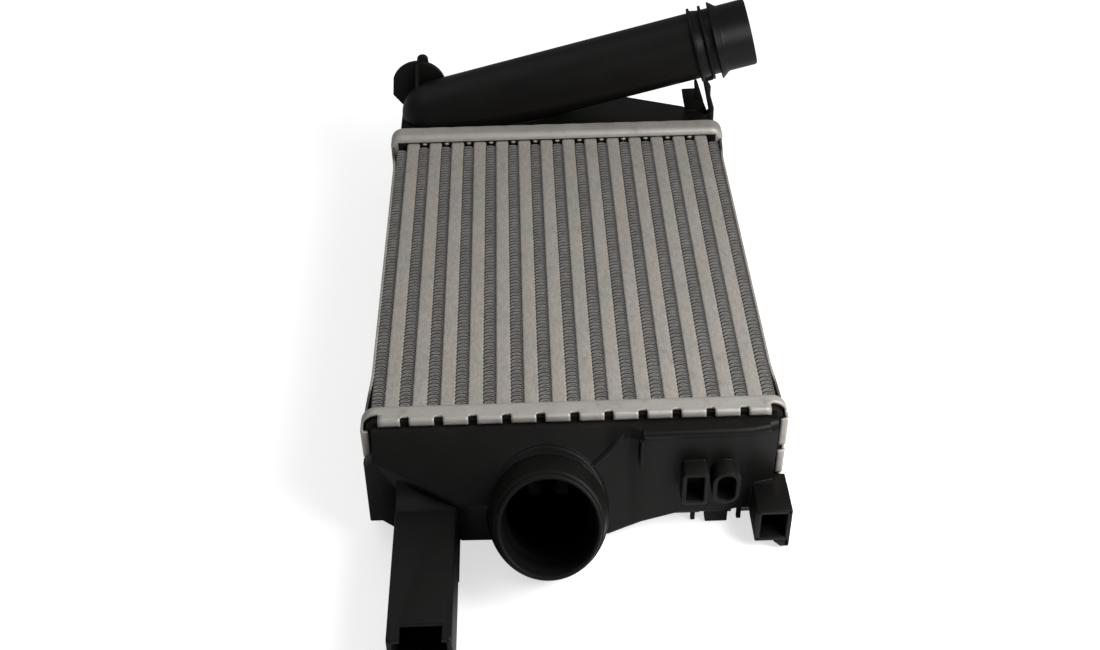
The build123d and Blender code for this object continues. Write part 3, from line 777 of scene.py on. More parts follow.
@dataclass(frozen=True)
class Moulding:
    """Glass-filled black moulding with a fine grain, faint flow marks and dust."""

    name: str
    colour: Triple = (0.0060, 0.0056, 0.0052)
    dust: Triple = (0.028, 0.025, 0.022)
    dust_amount: float = 0.35
    roughness: float = 0.40
    gloss: float = 0.16
    grain: float = 0.00005
    waves: float = 0.00025
    rounding: float = 0.0007
    # Painted shade: inside the socket's bore the colour is nearly black and the surface duller.
    bore: float = 0.0227
    bore_rim: float = 0.0002
    bore_start: Flat = (-0.001, -0.004)
    bore_shade_colour: Triple = (0.0012, 0.0011, 0.0010)
    bore_dulls: float = 0.45

    def make(self, mouth: Vector, axis: Vector) -> bpy.types.Material:
        """Builds the material.

        Args:
            mouth: Middle of the socket's mouth, in metres.
            axis: Direction of the socket, outwards.

        Returns:
            The material, with painted near-black shade and more roughness inside the socket.
        """
        nodes = Nodes(self.name)
        cloud = nodes.noise((30.0, 30.0, 30.0), 5.0, 0.6)
        speck = nodes.ramp(nodes.noise((900.0, 900.0, 900.0), 2.0, 0.5), 0.4, 0.8)
        amount = nodes.product(nodes.ramp(cloud, 0.45, 0.8, 0.0, self.dust_amount), speck)
        colour = nodes.mix(amount, self.colour, self.dust)
        inward = nodes.vector("SUBTRACT", nodes.place, mouth).outputs["Vector"]
        level = nodes.vector("DOT_PRODUCT", inward, axis).outputs["Value"]
        off_axis = nodes.vector("CROSS_PRODUCT", inward, axis).outputs["Vector"]
        radius = nodes.vector("LENGTH", off_axis, axis).outputs["Value"]
        # Painted near-black shade inside the socket's bore; the roughness rises there too.
        inside = nodes.product(nodes.ramp(radius, self.bore, self.bore - self.bore_rim),
                               nodes.ramp(level, *self.bore_start))
        colour = nodes.mix(inside, colour, self.bore_shade_colour)
        rough = nodes.ramp(cloud, 0.3, 0.7, self.roughness - 0.05, self.roughness + 0.09)
        rough = nodes.math("ADD", rough, nodes.product(inside, self.bore_dulls))
        soft = nodes.add("ShaderNodeBevel", samples=4)
        nodes.feed(soft.inputs["Radius"], self.rounding)
        normal = nodes.bump(nodes.noise((1500.0, 1500.0, 1500.0), 2.0, 0.6), self.grain, 0.5,
                            soft.outputs["Normal"])
        normal = nodes.bump(nodes.noise((90.0, 90.0, 90.0), 3.0, 0.5), self.waves, 0.25, normal)
        node = nodes.shader(0.0, rough, colour, normal)
        nodes.feed(node.inputs["Specular IOR Level"], self.gloss)
        return nodes.material


@dataclass(frozen=True)
class Rubber:
    """Matt black seal rubber."""

    name: str = "seal_rubber_matt"
    colour: Triple = (0.010, 0.010, 0.010)
    dust: Triple = (0.022, 0.021, 0.020)
    roughness: float = 0.8
    grain: float = 0.00005

    def make(self) -> bpy.types.Material:
        """Builds the material.

        Returns:
            The material.
        """
        nodes = Nodes(self.name)
        colour = nodes.mix(nodes.noise((200.0, 200.0, 200.0), 3.0), self.colour, self.dust)
        normal = nodes.bump(nodes.noise((1200.0, 1200.0, 1200.0)), self.grain, 0.4)
        nodes.shader(0.0, self.roughness, colour, normal)
        return nodes.material


@dataclass(frozen=True)
class PaleFloor:
    """Plain white studio floor that keeps a soft shadow."""

    name: str = "studio_floor"
    colour: Triple = (0.90, 0.90, 0.90)
    tint: Triple = (0.92, 0.92, 0.92)
    roughness: float = 0.9
    lift: float = 0.64

    def make(self) -> bpy.types.Material:
        """Builds the material.

        Returns:
            The material, which the camera sees lifted towards white.
        """
        nodes = Nodes(self.name)
        colour = nodes.mix(nodes.noise((3.0, 3.0, 3.0), 2.0), self.colour, self.tint)
        node = nodes.shader(0.0, self.roughness, colour, None)
        nodes.feed(node.inputs["Emission Color"], (1.0, 1.0, 1.0, 1.0))
        seen = nodes.add("ShaderNodeLightPath").outputs["Is Camera Ray"]
        nodes.feed(node.inputs["Emission Strength"], nodes.product(seen, self.lift))
        return nodes.material


# The tubes take a painted dark line along their rounded edges and a painted contact shadow where they meet
# the header.
TUBE_SHEET = Aluminium(
    "tube_sheet", (0.445, 0.405, 0.365), (0.41, 0.39, 0.36), (0.29, 0.235, 0.175),
    streaks=(900.0, 260.0, 900.0), streak_depth=0.13, stain_amount=0.42, depth_shade=0.75,
    shaded=(0.0306, 0.0313), joint_shadow_strength=0.7)
# The fins take painted shade that deepens below their fold tops, on the legs and on the louvre sheets,
# besides the painted shade of their folds.
FIN_SHEET = FoldedAluminium(
    "fin_strip", (0.45, 0.44, 0.415), (0.39, 0.38, 0.355), (0.30, 0.26, 0.20),
    metallic=0.45, streaks=(500.0, 500.0, 60.0), depth_shade=0.8)
# The headers take painted near-black shade on the floor of their pockets, so only the tops of the bumps
# stay light.
HEADER_SHEET = Aluminium(
    "header_sheet", (0.46, 0.44, 0.41), (0.42, 0.395, 0.36), (0.26, 0.205, 0.15),
    streaks=(60.0, 500.0, 500.0), streak_depth=0.04, stain_amount=0.40, inner_shade_start=0.1229,
    inside=(0.1012, 0.0328))
# Painted shade: the turbulators inside the tubes are coloured nearly black for the shade they sit in.
TURBULATOR_SHADE_SHEET = Aluminium(
    "turbulator_strip_shaded", (0.03, 0.028, 0.025), (0.02, 0.018, 0.016), (0.02, 0.017, 0.014))


# --------------------------------------------------------------------------- core
@dataclass
class TubeBank:
    """Row of flat tubes, each a thin-walled drawn section."""

    count: int = 14
    pitch: float = 14.0
    thickness: float = 8.0
    depth: float = 64.0
    reach: float = 128.0
    corner: float = 1.3
    wall: float = 0.6
    corner_steps: int = 5
    spans: int = 8

    def centre(self, index: int) -> float:
        """X of one tube."""
        return (index - (self.count - 1) / 2) * self.pitch

    def section(self, cut: float) -> list[Flat]:
        """Outline of the tube's wall, set in by a cut."""
        across, along = self.thickness / 2 - cut, self.depth / 2 - cut
        return rounded(rectangle(-across, across, -along, along), self.corner - cut, self.corner_steps)

    def build(self, workshop: Workshop, material: bpy.types.Material) -> None:
        """Makes every tube.

        Args:
            workshop: Workshop that makes the pieces.
            material: Their finish.
        """
        outer, inner = self.section(0.0), self.section(self.wall)
        steps = [self.reach * (2 * i / self.spans - 1) for i in range(self.spans + 1)]
        for index in range(self.count):
            x = self.centre(index)
            rows = [[Vector((x + u, y, v)) for u, v in outer] for y in steps]
            rows += [[Vector((x + u, y, v)) for u, v in inner] for y in reversed(steps)]
            shape = Shape()
            shape.grid(rows, round_rows=True)
            item = workshop.thing(f"flat_tube_{index + 1:02d}", shape)
            workshop.present(item, [f"tube_{index + 1:02d}"], Slot.TUBE, material)


@dataclass
class FinPack:
    """Columns of folded strip between the tubes, with bowed legs and tight folds."""

    count: int = 15
    pitch: float = 14.0
    width: float = 6.0
    depth: float = 64.0
    depth_gap: float = 0.1
    near_gap: float = 2.2
    fold_pitch: float = 2.8
    legs: int = 172
    outer_legs: int = 170
    bow: float = 1.2
    wobble: Flat = (0.10, 0.06)
    wobble_turn: Flat = (2.399, 0.71)
    wobble_shift: float = 1.7
    sheet: float = 0.46
    tip: float = 0.42
    overlap: float = 0.35
    louvre_level: float = 31.0
    louvre_sheet: float = 0.2
    louvre_overlap: float = 0.2
    leg_steps: int = 9
    fold_steps: int = 4

    def centre(self, index: int) -> float:
        """X of one column."""
        return (index - (self.count - 1) / 2) * self.pitch

    def path(self, index: int) -> list[Vector]:
        """Finds the middle line of one strip in plan.

        Args:
            index: Number of the column; the first and the last one have fewer folds.

        Returns:
            Points about the middle of the column.
        """
        legs = self.outer_legs if index in (0, self.count - 1) else self.legs
        spacing = self.fold_pitch / 2
        reach = self.width / 2 + self.overlap - self.sheet / 2 - self.tip
        run = spacing - 2 * self.tip
        line: list[Vector] = []
        for leg in range(legs):
            start = self.near_gap - CORE_HALF + spacing * leg + self.tip
            side = 1 if leg % 2 == 0 else -1
            uneven = (self.wobble[0] * math.sin(leg * self.wobble_turn[0] + index * self.wobble_shift)
                      + self.wobble[1] * math.sin(leg * self.wobble_turn[1] + index))
            for step in range(self.leg_steps):
                share = 2 * step / (self.leg_steps - 1) - 1
                bow = (self.bow + uneven) * (1 - share * share)
                along = start + run * (share + 1) / 2 + bow - self.bow / 2
                line.append(Vector((side * reach * share, along)))
            if leg < legs - 1:
                for step in range(1, self.fold_steps):
                    turn = math.pi * step / self.fold_steps
                    line.append(Vector((side * (reach + self.tip * math.sin(turn)),
                                        start + run + self.tip * (1 - math.cos(turn)) - self.bow / 2)))
        return line

    def strip(self, index: int) -> Shape:
        """Draws one strip.

        Args:
            index: Number of the column.

        Returns:
            The strip, with the louvres that close its folds to the eye.
        """
        line = self.path(index)
        x = self.centre(index)
        left, right = [], []
        for i, point in enumerate(line):
            ahead = line[min(i + 1, len(line) - 1)] - line[max(i - 1, 0)]
            ahead.normalize()
            side = Vector((-ahead.y, ahead.x)) * (self.sheet / 2)
            left.append(point + side)
            right.append(point - side)
        half = self.depth / 2 - self.depth_gap
        shape = Shape()
        rows = []
        for edge, level in ((left, half), (right, half), (right, -half), (left, -half)):
            rows.append([Vector((x + p.x, p.y, level)) for p in edge])
        shape.grid(rows, round_row=False, round_rows=True)
        start, end = line[0].y + self.bow, line[-1].y - self.bow
        reach = self.width / 2 + self.louvre_overlap
        thin = self.louvre_sheet / 2
        for level in (self.louvre_level, -self.louvre_level):
            edges = rectangle(x - reach, x + reach, level - thin, level + thin)
            shape.grid([[Vector((u, y, v)) for u, v in edges] for y in (start, end)], caps=True)
        return shape

    def build(self, workshop: Workshop, material: bpy.types.Material) -> None:
        """Makes every strip.

        Args:
            workshop: Workshop that makes the pieces.
            material: Their finish.
        """
        for index in range(self.count):
            item = workshop.thing(f"folded_fin_{index + 1:02d}", self.strip(index))
            workshop.present(item, [f"fin_strip_{index + 1:02d}"], Slot.FIN, material, crease=50.0)


@dataclass
class SidePlate:
    """Plate on each flank of the core, flared outwards where it meets the headers."""

    inner: float = 101.0
    sheet: float = 1.5
    flare: float = 2.2
    flare_start: float = 96.0
    flare_curve: float = 0.8
    reach: float = 125.4
    half_depth: float = 32.0
    tongue: float = 29.0
    edge: float = 0.5
    steps: int = 10

    def line(self) -> list[Flat]:
        """Finds the inside of the plate.

        Returns:
            X and Y from its near end to its far end.
        """
        ends = []
        for i in range(self.steps + 1):
            share = i / self.steps
            y = blend_between(self.flare_start, self.reach, share)
            ends.append((self.inner + self.flare * ease(share) ** self.flare_curve, y))
        return [(x, -y) for x, y in reversed(ends)] + ends

    def half_width(self, y: float) -> float:
        """Half of the plate's depth at a place along it."""
        share = max(0.0, (abs(y) - self.flare_start) / (self.reach - self.flare_start))
        return blend_between(self.half_depth, self.tongue, ease(min(1.0, share)))

    def build(self, workshop: Workshop, material: bpy.types.Material) -> None:
        """Makes both plates.

        Args:
            workshop: Workshop that makes the pieces.
            material: Their finish.
        """
        shape = Shape()
        rows = []
        for x, y in self.line():
            half = self.half_width(y)
            section = rounded(rectangle(x, x + self.sheet, -half, half), self.edge, 3)
            rows.append([Vector((u, y, v)) for u, v in section])
        shape.grid(rows, caps=True)
        for side, name in ((Side.HIGH, "right"), (Side.LOW, "left")):
            form = shape if side is Side.HIGH else shape.mirrored(0)
            item = workshop.thing(f"flank_plate_{name}", form)
            workshop.present(item, [f"{name}_side_plate"], Slot.TUBE, material)


# ------------------------------------------------------------------------- headers
@dataclass
class Header:
    """Pressed header pan whose notched rim is folded over the tank's flange."""

    half_width: float = 105.8
    half_depth: float = 36.5
    height: float = 12.5
    sheet: float = 1.4
    corner: float = 8.0
    corner_steps: int = 12
    base_bend: float = 3.5
    base_steps: int = 6
    fold_bend: float = 1.7
    fold_steps: int = 5
    wall_row: float = 5.4
    tab_reach: float = 4.0
    tab_margin: float = 4.0
    tab_steps: int = 4
    long_pitch: float = 16.7
    long_notches: int = 11
    short_pitch: float = 19.6
    short_notches: int = 2
    notch: float = 4.5
    notch_start: float = 9.3
    notch_round: float = 1.3
    notch_steps: int = 7
    notch_margin: float = 1.2
    corner_root: float = 7.2
    corner_row: float = 7.2
    notch_row: float = 9.3
    corner_long: float = 9.2
    corner_short: float = 7.0
    shoulder: float = 1.3
    shoulder_rows: tuple[float, ...] = (0.0, 0.15, 0.4, 1.0)
    pucker: float = 0.18
    pucker_drop: float = 0.6
    pucker_spread: Flat = (1.6, 3.6)
    slot_margin: float = 0.4
    bump_pitch: float = 14.0
    bumps: int = 13
    bump_z: float = 31.4
    bump_radius: float = 1.7
    bump_rise: float = 1.3
    bump_squash: float = 0.6
    bump_steps: int = 4
    tubes: TubeBank = field(default_factory=TubeBank)

    def profile(self) -> list[Flat]:
        """Draws the outer face from the base to the edge of the tabs.

        Returns:
            Pairs of inset and height.
        """
        line: list[Flat] = []
        for i in range(self.base_steps + 1):
            turn = math.pi / 2 * i / self.base_steps
            line.append((self.base_bend * (1 - math.sin(turn)), self.base_bend * (1 - math.cos(turn))))
        line.append((0.0, self.wall_row))
        line += [(0.0, self.corner_row + self.shoulder * share) for share in self.shoulder_rows]
        line += [(0.0, self.notch_row + rise) for rise in self.notch_arc()]
        line.append((0.0, self.height - self.fold_bend))
        for i in range(1, self.fold_steps + 1):
            turn = math.pi / 2 * i / self.fold_steps
            line.append((self.fold_bend * (1 - math.cos(turn)),
                         self.height - self.fold_bend * (1 - math.sin(turn))))
        line.append(((self.fold_bend + self.tab_reach) / 2, self.height))
        line.append((self.tab_reach, self.height))
        return line

    def notch_arc(self) -> list[float]:
        """Distances along either leg of a notch's rounded corner."""
        turns = (math.pi / 2 * i / self.notch_steps for i in range(self.notch_steps + 1))
        return [self.notch_round * (1 - math.cos(turn)) for turn in turns]

    def places(self, length: float, centres: Sequence[float]) -> list[float]:
        """Finds where the stations stand along one side of the rim.

        Args:
            length: Length of the side's straight part.
            centres: Middles of its notches.

        Returns:
            Distances from the start of the side, in order.
        """
        places = {0.0, length}
        opening = (self.corner_long if length > self.half_width else self.corner_short) - self.corner
        for shift in (self.shoulder * share for share in self.shoulder_rows):
            if opening > shift:
                places.update((opening - shift, length - opening + shift))
        half = self.notch / 2
        for centre in centres:
            for shift in [half + self.notch_margin] + [half - cut for cut in self.notch_arc()]:
                places.update((centre - shift, centre + shift))
            places.add(centre)
        for i in range(len(centres) + 1):
            left = (centres[i - 1] if i else 0.0) + self.tab_margin
            right = (centres[i] if i < len(centres) else length) - self.tab_margin
            for step in range(self.tab_steps + 1):
                places.add(blend_between(left, right, step / self.tab_steps))
        return sorted(places)

    def rim(self) -> list[tuple[Vector, Vector, float]]:
        """Finds the stations round the rim.

        Returns:
            Place, outward direction and distance to the nearest notch of each.
        """
        stations: list[tuple[Vector, Vector, float]] = []
        straight_x = self.half_width - self.corner
        straight_z = self.half_depth - self.corner
        long_side = (2 * straight_x, self.long_pitch, self.long_notches)
        short_side = (2 * straight_z, self.short_pitch, self.short_notches)
        sides = (((-straight_x, -self.half_depth), (1, 0), long_side),
                 ((self.half_width, -straight_z), (0, 1), short_side),
                 ((straight_x, self.half_depth), (-1, 0), long_side),
                 ((-self.half_width, straight_z), (0, -1), short_side))
        for first, direction, (length, pitch, count) in sides:
            start, along = Vector(first), Vector(direction)
            outward = Vector((along.y, -along.x))
            centres = [length / 2 + pitch * (i - (count - 1) / 2) for i in range(count)]
            for place in self.places(length, centres):
                gap = min(abs(place - centre) for centre in centres)
                stations.append((start + along * place, outward, gap))
            centre = start + along * length - outward * self.corner
            for i in range(1, self.corner_steps):
                turn = math.pi / 2 * i / self.corner_steps
                arm = outward * math.cos(turn) + along * math.sin(turn)
                stations.append((centre + arm * self.corner, arm, self.corner))
        return stations

    def open_here(self, place: Vector, gap: float, height: float) -> bool:
        """Finds whether a point of the rim lies in a notch or a corner opening.

        Args:
            place: The point, in plan.
            gap: Its distance to the nearest notch.
            height: Its height above the base.

        Returns:
            Whether the sheet is open there.
        """
        depth = min(abs(place.x) - self.half_width + self.corner_long,
                    abs(place.y) - self.half_depth + self.corner_short)
        rise = self.shoulder - min(self.shoulder, max(0.0, height - self.corner_root))
        if height > self.corner_root and depth > self.shoulder - math.sqrt(self.shoulder ** 2 - rise ** 2):
            return True
        lift = (height - self.notch_start) / self.notch_round
        if lift <= 0.0:
            return False
        half = self.notch / 2 - self.notch_round * (1 - math.sqrt(1 - (1 - min(1.0, lift)) ** 2))
        return gap < half

    def rim_shape(self, side: Side) -> Shape:
        """Draws the rim with its notches left out.

        Args:
            side: The end of the core that it belongs to.

        Returns:
            The rim's outer face, as one layer.
        """
        shape = Shape()
        profile = self.profile()
        stations = self.rim()
        spread_up, spread_along = self.pucker_spread
        for place, outward, gap in stations:
            for cut, height in profile:
                level = (height - self.notch_start + self.pucker_drop) / spread_up
                pucker = self.pucker * math.exp(-level ** 2) * math.exp(-(gap / spread_along) ** 2)
                spot = place - outward * cut - outward * pucker
                shape.points.append(Vector((spot.x, side.value * (CORE_HALF + height), spot.y)))
        rows = len(profile)
        for s, (first, _, first_gap) in enumerate(stations):
            t = (s + 1) % len(stations)
            gap = (first_gap + stations[t][2]) / 2
            place = (first + stations[t][0]) / 2
            for h in range(rows - 1):
                height = (profile[h][1] + profile[h + 1][1]) / 2
                if not self.open_here(place, gap, height):
                    a, b = s * rows + h, t * rows + h
                    shape.faces.append((a, b, b + 1, a + 1))
        return shape

    def base_shape(self, side: Side) -> Shape:
        """Draws the flat floor of the pan with a slot for every tube.

        Args:
            side: The end of the core that it belongs to.

        Returns:
            The floor's outer face, as one layer.
        """
        loops = [[place - outward * self.base_bend for place, outward, _ in self.rim()]]
        inside = [self.tubes.centre(i) for i in range(self.tubes.count)]
        for x in inside:
            loops.append([Vector((x + u, v)) for u, v in self.tubes.section(0.0)])
        form = bmesh.new()
        edges = []
        for loop in loops:
            corners = [form.verts.new((point.x, side.value * CORE_HALF, point.y)) for point in loop]
            for first, second in zip(corners, corners[1:] + corners[:1]):
                edges.append(form.edges.new((first, second)))
        bmesh.ops.triangle_fill(form, edges=edges, use_beauty=True, use_dissolve=False)
        form.verts.index_update()
        shape = Shape([Vector(vertex.co) for vertex in form.verts])
        half_slot = self.tubes.thickness / 2 - self.slot_margin
        for face in form.faces:
            middle = face.calc_center_median()
            in_slot = min(abs(middle.x - x) for x in inside) < half_slot
            if not (in_slot and abs(middle.z) < self.tubes.depth / 2):
                shape.faces.append(tuple(vertex.index for vertex in face.verts))
        form.free()
        return shape

    def settle(self, item: bpy.types.Object, level: float, side: Side) -> None:
        """Merges the seams of the layer and turns its faces away from the tank.

        Args:
            item: The header as one layer.
            level: Y of its floor, in metres.
            side: The end of the core that it belongs to.
        """
        form = bmesh.new()
        form.from_mesh(item.data)
        bmesh.ops.remove_doubles(form, verts=form.verts, dist=2e-5)
        bmesh.ops.recalc_face_normals(form, faces=form.faces)
        floor = [face for face in form.faces
                 if abs(face.normal.y) > 0.9 and abs(face.calc_center_median().y - level) < 1e-4]
        if side.value * sum(face.normal.y * face.calc_area() for face in floor) > 0:
            bmesh.ops.reverse_faces(form, faces=form.faces)
        form.to_mesh(item.data)
        form.free()

    def domes(self, side: Side) -> Shape:
        """Draws the pressed bumps beside the tubes.

        Args:
            side: The end of the core that they belong to.

        Returns:
            All of the bumps.
        """
        shape = Shape()
        for index in range(self.bumps):
            x = (index - (self.bumps - 1) / 2) * self.bump_pitch
            for z in (-self.bump_z, self.bump_z):
                rows = []
                for i in range(self.bump_steps + 1):
                    turn = math.pi / 2 * i / self.bump_steps
                    radius, rise = self.bump_radius * math.cos(turn) + TIP, self.bump_rise * math.sin(turn)
                    rows.append([Vector((x + u, side.value * (CORE_HALF - rise), z + v))
                                 for u, v in circle(radius, 16, self.bump_squash)])
                shape.grid(rows, caps=True)
        return shape

    def build(self, workshop: Workshop, material: bpy.types.Material, side: Side) -> None:
        """Makes the header of one end and its bumps.

        Args:
            workshop: Workshop that makes the pieces.
            material: Their finish.
            side: The end of the core.
        """
        name = "near" if side is Side.LOW else "far"
        item = workshop.thing(f"crimped_header_{name}", self.rim_shape(side))
        workshop.join(item, [workshop.thing("floor", self.base_shape(side))])
        self.settle(item, workshop.origin.y + side.value * CORE_HALF * MILLIMETRE, side)
        thick = item.modifiers.new("sheet", "SOLIDIFY")
        thick.thickness = self.sheet * MILLIMETRE
        thick.offset = -1.0
        bumps = workshop.thing(f"header_bumps_{name}", self.domes(side))
        workshop.present(item, [f"{name}_header"], Slot.HEADER, material, crease=40.0)
        workshop.present(bumps, [f"{name}_header"], Slot.HEADER, material)


# --------------------------------------------------------------------------- tanks
@dataclass
class Station:
    """One section of a tank: where its top wall ends and its front wall starts and ends."""

    x: float
    top: float
    front: Flat
    foot: float

    def between(self, other: "Station", share: float) -> "Station":
        """Finds a section part of the way to the next one.

        Args:
            other: The next section.
            share: Share of the way to it.

        Returns:
            The section between them.
        """
        return Station(
            blend_between(self.x, other.x, share), blend_between(self.top, other.top, share),
            (blend_between(self.front[0], other.front[0], share),
             blend_between(self.front[1], other.front[1], share)),
            blend_between(self.foot, other.foot, share))


@dataclass
class TankShell:
    """Hollow tank body swept through its stations, open towards the header.

    The flange is given by its half length, its half depth and the radius of its corners.
    """

    stations: list[Station]
    side: Side
    foot_level: float = 5.0
    lip_level: float = 11.0
    half_depth: float = 31.7
    bevel: float = 7.0
    edge: float = 2.6
    top_edge: float = 4.0
    wall: float = 3.0
    wall_lean: float = 0.41
    bay_steps: int = 4
    arc_steps: int = 5
    flange_rim: Triple = (103.2, 34.7, 6.2)
    flange_opening: Triple = (100.0, 31.0, 4.0)

    def sections(self) -> list[Station]:
        """Fills in the sections between the stations.

        Returns:
            All of them, in order.
        """
        result = [self.stations[0]]
        for first, second in zip(self.stations, self.stations[1:]):
            result += [first.between(second, (i + 1) / self.bay_steps) for i in range(self.bay_steps)]
        return result

    def outline(self, station: Station, cut: float) -> list[Vector]:
        """Draws one section of a wall's face.

        Args:
            station: The section.
            cut: How far the face lies inside the outer one.

        Returns:
            Points from the top edge at the flange to the bottom edge at the flange.
        """
        limit = abs(self.stations[0].x) - cut
        x = max(-limit, min(limit, station.x))
        top = self.half_depth - cut
        floor = cut - self.half_depth
        lean = self.wall_lean * cut
        foot = station.foot - cut
        corners = [
            (self.foot_level, top), (station.top - lean, top),
            (station.front[0] - cut, station.front[1] - lean),
            (foot, floor + self.bevel), (foot - self.bevel, floor), (self.foot_level, floor)]
        radii = [0.0, self.top_edge, self.top_edge, self.edge, self.edge, 0.0]
        line = rounded(corners, radii, self.arc_steps)
        return [Vector((x, self.side.value * (CORE_HALF + out), z)) for out, z in line]

    def shape(self) -> Shape:
        """Draws the shell with its wall thickness.

        Returns:
            The shell, closed round its open edge.
        """
        sections = self.sections()
        outer = [self.outline(station, 0.0) for station in sections]
        inner = [self.outline(station, self.wall) for station in sections]
        shape = Shape()
        for rows in (outer, inner):
            base = len(shape.points)
            shape.grid(rows, round_row=False)
            width = len(rows[0])
            last = base + (len(rows) - 1) * width
            shape.faces.append(tuple(base + i for i in range(width)))
            shape.faces.append(tuple(last + i for i in reversed(range(width))))
        width = len(outer[0])
        shift = len(outer) * width
        for r in range(len(outer) - 1):
            for c in (0, width - 1):
                a, b = r * width + c, (r + 1) * width + c
                shape.faces.append((a, b, b + shift, a + shift))
        for r in (0, len(outer) - 1):
            a, b = r * width, r * width + width - 1
            shape.faces.append((a, b, b + shift, a + shift))
        return shape

    def flange(self) -> Shape:
        """Draws the flange that the header's tabs hold.

        Returns:
            The flange, with the opening over the tubes.
        """
        outer, inner = (
            rounded(rectangle(-length, length, -depth, depth), corner, self.arc_steps)
            for length, depth, corner in (self.flange_rim, self.flange_opening))
        shape = Shape()
        shape.ring(outer, inner, self.side.value * (CORE_HALF + self.foot_level),
                   self.side.value * (CORE_HALF + self.lip_level), across_y)
        return shape


@dataclass
class NearTank:
    """Inlet tank with its tilted socket, mounting arm, lug, bracket, pads and clip."""

    socket_at: Triple = (-14.6, -195.0, 20.3)
    tilt: float = 36.0
    turned_steps: int = 96
    bore: float = 22.4
    throat: float = 20.5
    seat: float = 30.0
    lip: float = 24.8
    lip_length: float = 6.0
    bead: float = 26.2
    bead_length: float = 2.0
    neck: float = 29.5
    neck_length: float = 34.6
    root: float = 80.0
    boss: float = 30.0
    boss_tall: float = 33.7
    boss_rim: tuple[Flat, ...] = ((-2.6, 0.0), (-0.8, -0.25), (-0.2, -0.8), (0.0, -1.8), (1.6, -30.0))
    socket_floor: float = -31.6
    socket_back: float = -134.0
    bore_floor: float = -27.0
    bore_back: float = -129.0
    bore_play: float = 0.4
    groove: Flat = (26.5, 32.5)
    groove_width: float = 1.6
    groove_turns: tuple[Flat, Flat] = ((4.0, 86.0), (94.0, 176.0))
    groove_steps: int = 24
    ridge_start: Triple = (24.8, -140.0, 28.2)
    ridge_end: Triple = (6.0, -152.2, 15.4)
    ridge_bow: float = 2.2
    ridge_lean: Triple = (0.7, -0.4, 0.4)
    ridge_radius: float = 1.3
    ridge_steps: int = 12
    panel: Flat = (33.0, 76.0)
    panel_reach: float = 22.0
    face: float = -136.8
    arm_sides: Flat = (-89.2, -59.6)
    arm_top: float = 3.0
    arm_tall: float = 31.0
    arm_wall: float = 2.6
    arm_tip: float = -243.3
    arm_root: float = -140.0
    arm_notch: Flat = (-83.1, -64.3)
    arm_notch_depth: float = 9.0
    arm_chamfer: float = 1.5
    arm_tongue: float = 8.0
    arm_heel: Flat = (-34.0, -180.0)
    arm_plug: float = -164.0
    lug_depths: Flat = (4.0, 11.6)
    bracket_base: float = -144.0
    bracket_tip: float = -163.0
    pad_level: float = 1.8
    pad_half: float = 10.75
    pad_wall: float = 2.4
    pad_rise: float = 10.0
    pad_sink: float = 1.5
    pad_least_corner: float = 0.8
    pad_steps: int = 7
    pad_forms: tuple[Triple, Triple] = ((58.7, 13.5, 2.4), (74.2, 14.0, 6.9))
    bead_top: float = 29.1
    bead_sink: float = 2.4
    bead_radius: float = 2.6
    step_start: Flat = (32.6, 27.0)
    step_end: Flat = (32.0, -11.0)
    step_radius: float = 1.6
    bead_steps: int = 8
    clip_sink: float = 6.0
    clip_levels: Flat = (-36.3, -26.0)
    clip_forms: tuple[Triple, ...] = ((72.5, 5.7, 2.5), (60.6, 1.1, 1.1), (84.4, 1.1, 1.1))

    def stations(self) -> list[Station]:
        """Lists the sections that shape the tank body.

        Returns:
            The sections, from the left end to the right end.
        """
        reach = self.panel_reach
        return [
            Station(-100.0, 14.0, (24.0, 20.0), 15.5),
            Station(-88.0, 14.0, (28.9, 15.7), 17.5),
            Station(-58.0, 14.0, (41.0, 5.0), 36.5),
            Station(-30.0, 14.0, (42.0, 5.0), 37.0),
            Station(6.0, 14.0, (29.0, 16.0), 37.0),
            Station(16.0, 14.0, (22.5, 22.5), 35.0),
            Station(26.0, 15.5, (19.0, 28.0), 30.5),
            Station(self.panel[0], 19.5, (reach, 27.5), 27.5),
            Station(52.0, 19.5, (reach, 27.5), reach),
            Station(self.panel[1], 19.5, (reach, 27.5), reach),
            Station(88.0, 19.0, (21.5, 27.5), 18.5),
            Station(100.0, 15.5, (18.0, 27.5), 15.5),
        ]

    def panel_front(self) -> float:
        """Y of the flat panel."""
        return -(CORE_HALF + self.panel_reach)

    def plane(self) -> Placing:
        """Placing across the socket, with levels out along its axis from the lip."""
        turn = math.radians(self.tilt)
        return tilted(self.socket_at, (1, 0, 0), (0, -math.cos(turn), math.sin(turn)))

    def neck_shape(self) -> Shape:
        """Turns the neck with its lip and its bead.

        Returns:
            The neck, with the bore through it.
        """
        lip_end = -self.lip_length
        bead_end = lip_end - self.bead_length
        profile = [
            (self.throat, -self.root), (self.throat, -self.seat), (self.bore, -self.seat + 0.4),
            (self.bore, -1.6), (self.bore + 0.35, -0.5), (self.bore + 0.9, 0.0),
            (self.lip - 0.9, 0.0), (self.lip - 0.25, -0.3), (self.lip, -1.0),
            (self.lip, lip_end + 0.4), (self.lip + 0.3, lip_end), (self.bead - 0.6, lip_end),
            (self.bead - 0.1, lip_end - 0.3), (self.bead, lip_end - 0.8), (self.bead, bead_end),
            (self.neck - 0.15, -self.neck_length + 0.8), (self.neck, -self.neck_length),
            (self.neck, -self.root)]
        shape = Shape()
        shape.lathe(profile, self.plane(), self.turned_steps)
        return shape

